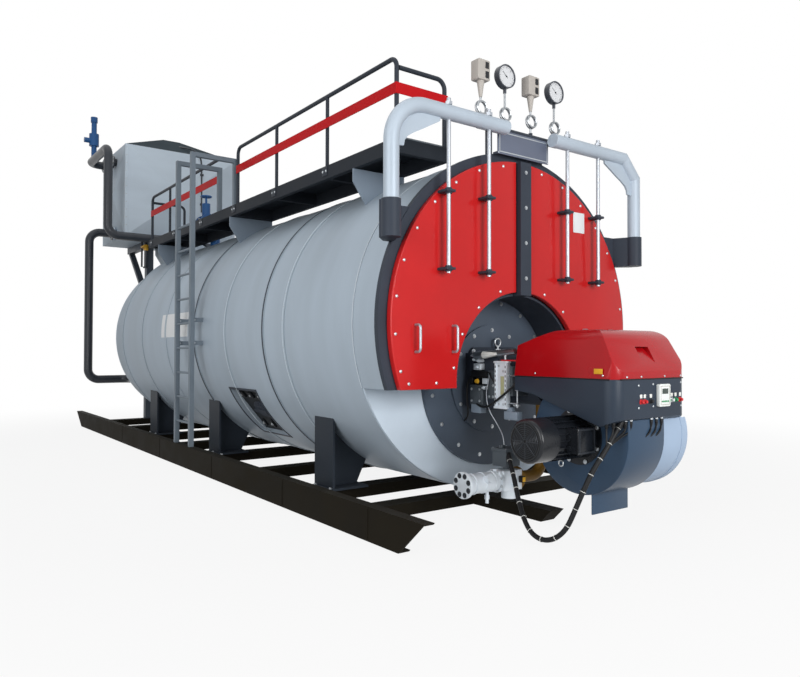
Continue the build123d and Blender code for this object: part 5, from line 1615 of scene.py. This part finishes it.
@dataclass
class Burner(Assembly):
    """The controls, the hood's fixings, the damper gear and the cable glands."""

    face_y: float = -5.09
    side_x: float = 0.42
    seam_z: float = 1.13
    seam_drop: float = 0.005
    seam_half: float = 0.003
    display_x: Pair = (0.035, 0.165)
    display_z: Pair = (0.935, 1.091)
    display_front: float = -5.118
    keys: int = 5
    panel_screws: tuple[Pair, ...] = (
        (-0.165, 1.086), (0.0, 1.091), (0.335, 1.097), (-0.165, 0.934), (0.0, 0.94), (0.338, 0.931))
    glands: tuple[Pair, ...] = (
        (-0.395, -5.0), (-0.355, -5.025), (-0.268, -5.055), (-0.225, -5.066), (0.0, -5.07), (0.06, -5.07),
        (0.12, -5.07))
    tail: float = 0.0065
    tail_z: float = 0.805

    def build(self, fixings: Fixings) -> None:
        """Add the pieces.

        Args:
            fixings: The shared trees.
        """
        for node, width in (("burner_housing", 0.006), ("control_display", 0.004), ("damper_servo", 0.006),
                            ("gas_actuator", 0.008)):
            softened(node, width)
        softened("burner_hood", 0.006, crisp=((-0.08, self.face_y, 1.235), (0.08, -4.7, 1.36)))
        self._panel(fixings)
        self._display()
        self._seam(fixings)
        DamperGear().build(fixings)
        self._glands()

    def _panel(self, fixings: Fixings) -> None:
        """Set the switch rows and the screws of the front panel.

        Args:
            fixings: The shared trees.
        """
        face = self.face_y
        fixings.dome("panel_screws", face_spots(face, FRONT, self.panel_screws), SCREW)
        rows = ((Paint.tie, (-0.142, -0.101, -0.031, 0.172, 0.217, 0.264, 0.321), 1.012, 0.013),
                (Paint.red_knob, (-0.142, -0.101, 0.321), 0.975, 0.016),
                (Paint.ink, (-0.031,), 0.975, 0.017),
                (Paint.green_lamp, (0.172, 0.264), 0.975, 0.015),
                (Paint.dial, (0.217,), 0.975, 0.015))
        for finish, places, level, size in rows:
            mould = Mould()
            for x in places:
                mould.slab((x - size, face - 0.004, level - size), (x + size, face, level + size), 0.003)
                if finish is not Paint.tie:
                    mould.rod((x, face, level), (x, face - 0.022, level), size * 0.8, 24, size * 0.68)
            mould.show(f"panel_{finish.name}", finish)

    def _display(self) -> None:
        """Give the display its screen, keys and frame."""
        (x0, x1), (z0, z1), front = self.display_x, self.display_z, self.display_front
        screen = Mould().slab((x0 + 0.03, front - 0.002, z0 + 0.088), (x1 - 0.03, front, z0 + 0.125), 0.001)
        screen.show("display_screen", Paint.screen)
        rim = Mould().frame_rim((x0 + 0.012, z0 + 0.012), (x1 - 0.012, z1 - 0.012), front, 0.004, 0.002)
        rim.show("display_rim", Paint.switch)
        keys = Mould()
        for k in range(self.keys):
            x = x0 + 0.03 + k * (x1 - x0 - 0.06) / (self.keys - 1)
            keys.slab((x - 0.006, front - 0.003, z0 + 0.03), (x + 0.006, front, z0 + 0.042), 0.002)
        keys.show("display_keys", Paint.green_lamp)

    def _seam(self, fixings: Fixings) -> None:
        """Run a dark gasket under the hood, with its screws and a bare label.

        Args:
            fixings: The shared trees.
        """
        face, half = self.face_y, self.seam_half
        low, high = self.seam_z - self.seam_drop, self.seam_z + half
        gasket = Mould()
        for side in SIDES:
            x = side * self.side_x
            gasket.slab((x - half, -5.04, low), (x + half, -4.19, high))
        gasket.slab((-0.36, face - half, low), (0.36, face + half, high)).show("hood_gasket", Paint.rubber)
        spots = [Spot((side * (self.side_x + 0.001), y, 1.155), (float(side), 0.0, 0.0))
                 for side, y in product(SIDES, (-4.39, -4.99))]
        spots += face_spots(face - 0.001, FRONT, product((-0.295, -0.136, 0.136, 0.33), (1.145,)))
        fixings.dome("hood_screws", spots, SCREW)
        label = Mould().slab((-self.side_x - 0.0025, -4.99, 1.165), (-self.side_x, -4.92, 1.2), 0.0008)
        label.show("hood_label_bare", Paint.yellow)

    def _glands(self) -> None:
        """Hang the cable glands under the housing's front edge, with short tails on the right ones."""
        glands, nuts, tails = Mould(), Mould(), Mould()
        for x, y in self.glands:
            glands.rod((x, y, 0.88), (x, y, 0.828), 0.015, 6)
            glands.rod((x, y, 0.828), (x, y, 0.80), 0.014, 16, 0.009)
            nuts.rod((x, y, 0.862), (x, y, 0.848), 0.0165, 6)
            if x >= 0.0:
                tails.hose(((x, y, self.tail_z), (x - 0.01, y - 0.006, 0.78), (x - 0.04, y - 0.01, 0.75),
                            (x - 0.07, y + 0.012, 0.72)), self.tail)
        glands.show("housing_glands", Paint.rubber)
        nuts.show("gland_nuts", Paint.tube)
        tails.show("gland_tails", Paint.rubber)


@dataclass
class FanUnit(Assembly):
    """The motor's cowl grille, terminal box and lugs, and the seams of scroll and intake."""

    fan_y: float = -4.65
    fan_z: float = 0.71
    cowl_x: float = -0.80
    mesh_r: float = 0.125
    rings: int = 8
    first_ring: float = 0.016
    ring_step: float = 0.0135
    spokes: int = 8
    scroll_x: float = -0.25
    eye_x: float = -0.44
    intake_x: float = 0.5
    lid_y: float = -4.876

    def build(self, fixings: Fixings) -> None:
        """Add the pieces.

        Args:
            fixings: The shared trees.
        """
        y, z = self.fan_y, self.fan_z
        softened("air_intake", 0.01)
        softened("fan_scroll", 0.012)
        self._grille()
        self._terminal(fixings)
        collar = ((0.165, 0.0), (0.205, 0.0), (0.205, 0.012), (0.165, 0.018))
        Mould().turned(collar, (self.scroll_x, y, z), WEST).show("motor_collar", Paint.motor)
        fixings.bolt("motor_bolts", ring_spots((-0.268, y, z), WEST, 0.19, 8, OFF_AXIS), M12)
        eye = Mould().turned(torus_profile(0.02, 0.005), (self.eye_x, y, z - 0.178), WEST, 24)
        eye.rod((self.eye_x, y, z - 0.16), (self.eye_x, y, z - 0.135), 0.008).show("motor_eye", Paint.zinc)
        band = ((0.398, 0.0), (0.403, 0.0), (0.403, 0.02), (0.398, 0.02))
        Mould().turned(band, (self.intake_x - 0.09, y, z), EAST, 72).show("intake_band", Paint.intake)

    def _grille(self) -> None:
        """Cover the cowl's end with rings and spokes."""
        mould = Mould()
        centre = Vector((self.cowl_x, self.fan_y, self.fan_z))
        front = centre + Vector(WEST) * 0.002
        for k in range(self.rings):
            mould.turned(torus_profile(self.first_ring + k * self.ring_step, 0.0024, 6), front, WEST, 40)
        for k in range(self.spokes):
            angle = 2 * math.pi * k / self.spokes
            out = Vector((0.0, math.cos(angle), math.sin(angle)))
            mould.rod(front + out * 0.012, front + out * 0.122, 0.0028, 8)
        mould.show("cowl_grille", Paint.grille)
        Mould().rod(centre, centre + Vector(WEST) * 0.001, self.mesh_r, 40).show("cowl_mesh", Paint.rubber)
        inner, outer = self.mesh_r, self.mesh_r + 0.008
        rim = ((inner, 0.0), (outer, 0.0), (outer, 0.003), (inner, 0.003))
        Mould().turned(rim, centre, WEST).show("cowl_rim", Paint.motor)

    def _terminal(self, fixings: Fixings) -> None:
        """Lid, raised rim with a painted highlight, screws and gland of the motor's terminal box.

        Args:
            fixings: The shared trees.
        """
        lid = Mould().slab((-0.531, self.lid_y, 0.621), (-0.353, -4.866, 0.799), 0.003)
        for z in (0.66, 0.73):
            lid.rod((-0.545, -4.80, z), (-0.527, -4.80, z), 0.018, 20)
        lid.show("terminal_lid", Paint.motor)
        # Raised rim on the lid, in a lighter finish than the lid: the lighter colour is a painted highlight
        # on its edges.
        rim = Mould().frame_rim((-0.525, 0.627), (-0.359, 0.793), self.lid_y, 0.011, 0.005)
        rim.show("terminal_rim", Paint.grille)
        spots = face_spots(self.lid_y, FRONT, product((-0.52, -0.364), (0.632, 0.788)))
        fixings.dome("terminal_screws", spots, SMALL_SCREW)


@dataclass
class GasTrain(Assembly):
    """Flange bolts, ribs and caps of the gas valve train."""

    gas_y: float = -4.07
    gas_z: float = 0.33
    inlet_x: float = -0.85
    joint_x: float = -0.52
    ribs: tuple[float, ...] = (-0.76, -0.66, -0.56)
    tap_x: float = -0.6
    half: float = 0.075
    lid_z: float = 0.572

    def build(self, fixings: Fixings) -> None:
        """Add the pieces.

        Args:
            fixings: The shared trees.
        """
        softened("gas_valve", 0.004)
        y, z = self.gas_y, self.gas_z
        inlet = ring_spots((self.inlet_x, y, z), WEST, 0.074, 8, OFF_AXIS)
        fixings.bolt("gas_inlet_bolts", inlet, M16, finish=Paint.dark_bolt)
        joint = ring_spots((self.joint_x, y, z), WEST, 0.08, 8, OFF_AXIS)
        fixings.bolt("gas_joint_bolts", joint, M10)
        self._ribs()
        lid = Mould().slab((-0.482, -4.152, 0.548), (-0.316, -3.988, self.lid_z), 0.004)
        lid.slab((-0.46, -4.09, self.lid_z), (-0.43, -4.05, 0.596), 0.004).show("actuator_lid", Paint.servo)
        corners = face_spots(self.lid_z, UP, product((-0.47, -0.328), (-4.14, -4.0)))
        fixings.dome("actuator_screws", corners, SMALL_SCREW)
        front = y - self.half
        plug = Mould().slab((-0.34, front - 0.04, 0.31), (-0.306, front, 0.36), 0.004)
        plug.show("valve_plug", Paint.rubber)
        tag = Mould().slab((-0.337, front - 0.043, 0.318), (-0.309, front - 0.04, 0.352))
        tag.show("valve_tag_bare", Paint.yellow)

    def _ribs(self) -> None:
        """Put rings, a plug and test points on the strainer and the valve."""
        y, z, x = self.gas_y, self.gas_z, self.tap_x
        ribs = Mould()
        for place in self.ribs:
            section = ((0.070, -0.01), (0.079, -0.006), (0.079, 0.006), (0.070, 0.01))
            ribs.turned(section, (place, y, z), WEST)
        ribs.rod((-0.66, y - 0.05, z + 0.03), (-0.66, y - 0.105, z + 0.05), 0.034, 8)
        ribs.rod((x, y, z - 0.06), (x, y, z - 0.16), 0.014, 16)
        ribs.rod((x, y, z - 0.10), (x, y, z - 0.13), 0.02, 6)
        front = y - self.half
        for step in (-0.03, 0.035):
            ribs.rod((-0.4, front, z + step), (-0.4, front - 0.03, z + step), 0.016, 6)
        ribs.show("gas_ribs", Paint.gas)


@dataclass
class Skid(Assembly):
    """Weld lines and saddle bolts of the skid."""

    web_x: float = 1.57
    height: float = 0.24
    edge: float = 0.012
    weld: Pair = (0.003, 0.006)
    plates: tuple[float, ...] = (-3.9, -2.6, -1.0, 0.7, 2.4)
    bolt_step: float = 0.13

    def build(self, fixings: Fixings) -> None:
        """Add the pieces.

        Args:
            fixings: The shared trees.
        """
        low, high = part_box("saddles")
        rows = (low.y + 0.16, (low.y + high.y) / 2, high.y - 0.16)
        spots = [Spot((side * (high.x - 0.022), y + step, low.z + 0.02), UP)
                 for y, side, step in product(rows, SIDES, (-self.bolt_step, self.bolt_step))]
        fixings.bolt("saddle_bolts", spots, M14)
        (rise, half), x = self.weld, -self.web_x
        beads = Mould()
        for y in self.plates:
            beads.slab((x - rise, y - half, self.edge), (x, y + half, self.height - self.edge))
        beads.show("skid_weld_lines", Paint.skid)


@dataclass
class CableLoom(Assembly):
    """The cable bundle that hangs from the housing to the gas actuator."""

    radius: float = 0.0175
    length: float = 1.723
    ties: int = 15
    tie_gap: float = 0.0008
    tie_band: float = 0.0022
    fan_glands: int = 4
    tail_drop: float = 0.03
    tail_bend: float = 0.55
    route: tuple[Point, ...] = (
        (-0.312, -5.030, 0.802), (-0.404, -5.008, 0.669), (-0.508, -4.980, 0.539),
        (-0.574, -4.950, 0.398), (-0.618, -4.914, 0.263), (-0.648, -4.886, 0.170),
        (-0.667, -4.848, 0.113), (-0.679, -4.797, 0.073), (-0.685, -4.735, 0.050),
        (-0.684, -4.669, 0.046), (-0.677, -4.605, 0.061), (-0.663, -4.543, 0.095),
        (-0.632, -4.468, 0.156), (-0.578, -4.370, 0.255), (-0.512, -4.265, 0.382),
        (-0.462, -4.170, 0.490),
    )

    def build(self, fixings: Fixings) -> None:
        """Make the loom as a cord, the white ties round it and the tails that join it.

        Args:
            fixings: The shared trees.
        """
        curve = nurbs("loom", self.route, self.radius, 16)
        curve.materials.append(Paint.rubber.material())
        loom = bpy.data.objects.new("loom", curve)
        bpy.context.scene.collection.objects.link(loom)
        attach(loom, ROOT)
        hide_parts("cable_loom")
        LOG.info("%s on %s, %.3f m long", loom.name, ROOT, self.length)
        line = bpy.data.objects.new("tie_line", nurbs("tie_line", self.route, 0.0))
        sizes = {"Count": self.ties, "Radius": self.radius + self.tie_gap, "Band": self.tie_band}
        ties = show("loom_ties", fixings.ties.grow(line, Paint.tie, sizes), Paint.tie)
        tails = Mould()
        join = Vector(self.route[1])
        for x, y in Burner.glands[:self.fan_glands]:
            first = Vector((x, y, Burner.tail_z))
            drop = first - Vector((0, 0, self.tail_drop))
            tails.hose((first, drop, first.lerp(join, self.tail_bend), join), Burner.tail)
        fan = tails.show("loom_tails", Paint.rubber)


@dataclass(frozen=True)
class Lamp:
    """One soft light panel."""

    name: str
    at: Point
    target: Point
    size: float
    power: float

    def hang(self) -> None:
        """Put the panel in the scene, turned to its target."""
        lamp = bpy.data.lights.new(self.name, "AREA")
        lamp.size = self.size
        lamp.energy = self.power
        holder = bpy.data.objects.new(self.name, lamp)
        holder.location = self.at
        aim = Vector(self.target) - Vector(self.at)
        holder.rotation_euler = aim.to_track_quat("-Z", "Y").to_euler()
        bpy.context.scene.collection.objects.link(holder)


@dataclass
class Studio:
    """Floor, light and camera."""

    eye: Point = (-4.24246, -7.91416, 1.31942)
    yaw: float = 0.633590459
    pitch: float = 0.0173869239
    roll: float = 0.00220387927
    lens: float = 31.2114
    sensor: float = 36.0
    sight: float = 500.0
    floor_half: float = 60.0
    floor_tone: float = 0.5
    floor_rough: float = 0.9
    fade: Pair = (4.0, 10.0)
    fade_share: Pair = (0.88, 1.0)
    room: Pair = (0.32, 1.0)
    lamps: tuple[Lamp, ...] = (
        Lamp("key", (-0.9, -12.5, 3.2), (0, -2, 1.4), 4.0, 570),
        Lamp("side", (-9.5, -6.0, 3.6), (0, -1.5, 1.5), 6.0, 420),
        Lamp("top", (-2.0, 1.0, 12.0), (0, 0, 1.5), 8.0, 190))

    def build(self) -> None:
        """Make everything that isn't part of the boiler."""
        self._floor()
        self._light()
        self._camera()

    def _floor(self) -> None:
        """Lay a pale floor under the boiler, white away from it."""
        mesh = bpy.data.meshes.new("floor")
        h = self.floor_half
        mesh.from_pydata([(-h, -h, 0), (h, -h, 0), (h, h, 0), (-h, h, 0)], [], [(0, 1, 2, 3)])
        floor = bpy.data.objects.new("floor", mesh)
        bpy.context.scene.collection.objects.link(floor)
        made = bpy.data.materials.new("floor_pale")
        made.use_nodes = True
        graph = Graph(made.node_tree)
        nodes = made.node_tree.nodes
        tone = (self.floor_tone, self.floor_tone, self.floor_tone, 1.0)
        graph.feed(nodes["Principled BSDF"], {"Base Color": tone, "Roughness": self.floor_rough})
        glow = graph.node("ShaderNodeEmission").outputs["Emission"]
        place = graph.node("ShaderNodeTexCoord").outputs["Object"]
        away = graph.node("ShaderNodeVectorMath", {0: place}, operation="LENGTH").outputs["Value"]
        far = graph.spread(away, self.fade, self.fade_share, interpolation_type="SMOOTHSTEP")
        share = graph.calc("MULTIPLY", far, self._seen(graph))
        mix = graph.node("ShaderNodeMixShader",
                         {"Fac": share, 1: nodes["Principled BSDF"].outputs["BSDF"], 2: glow})
        graph.feed(nodes["Material Output"], {"Surface": mix.outputs["Shader"]})
        mesh.materials.append(made)

    @staticmethod
    def _seen(graph: Graph) -> Socket:
        """Give 1 for camera, mirror and glass rays, and 0 for the rest.

        Args:
            graph: The nodes of the floor or the room.

        Returns:
            The value's socket.
        """
        rays = graph.node("ShaderNodeLightPath").outputs
        direct = graph.calc("MAXIMUM", rays["Is Camera Ray"], rays["Is Glossy Ray"])
        return graph.calc("MAXIMUM", direct, rays["Is Transmission Ray"])

    def _light(self) -> None:
        """Light the boiler from a pale room and soft panels."""
        world = bpy.data.worlds.new("room")
        bpy.context.scene.world = world
        world.use_nodes = True
        graph = Graph(world.node_tree)
        level = graph.spread(self._seen(graph), (0.0, 1.0), self.room)
        white = (1.0, 1.0, 1.0, 1.0)
        graph.feed(world.node_tree.nodes["Background"], {"Color": white, "Strength": level})
        for lamp in self.lamps:
            lamp.hang()

    def _camera(self) -> None:
        """Put the camera where the photograph was taken."""
        level = math.cos(self.pitch)
        ahead = Vector((math.sin(self.yaw) * level, math.cos(self.yaw) * level, math.sin(self.pitch)))
        across = Vector((math.cos(self.yaw), -math.sin(self.yaw), 0.0))
        above = across.cross(ahead)
        right = math.cos(self.roll) * across + math.sin(self.roll) * above
        up = -math.sin(self.roll) * across + math.cos(self.roll) * above
        matrix = Matrix((right, up, -ahead)).transposed().to_4x4()
        matrix.translation = self.eye
        lens = bpy.data.cameras.new("camera")
        lens.lens = self.lens
        lens.sensor_width = self.sensor
        lens.clip_end = self.sight
        camera = bpy.data.objects.new("camera", lens)
        camera.matrix_world = matrix
        bpy.context.scene.collection.objects.link(camera)
        bpy.context.scene.camera = camera


def dress_nodes(nodes: dict[str, bpy.types.Object]) -> None:
    """Give every CAD node its finish.

    Args:
        nodes: Node name to object.
    """
    for name, node in nodes.items():
        node.data.materials.clear()
        node.data.materials.append(NODE_FINISH[name].material())


def main() -> None:
    """Build the pieces in order."""
    logging.basicConfig(level=logging.INFO, format="%(message)s")
    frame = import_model()
    bpy.context.scene.view_settings.view_transform = "Standard"
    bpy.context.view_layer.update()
    dress_nodes(frame["nodes"])
    Studio().build()
    fixings = Fixings()
    for assembly in (CladShell(), SmokeboxFront(), Instruments(), Walkway(), RearEnd(), Burner(), FanUnit(),
                     GasTrain(), Skid(), CableLoom()):
        assembly.build(fixings)


if __name__ == "__main__":
    main()
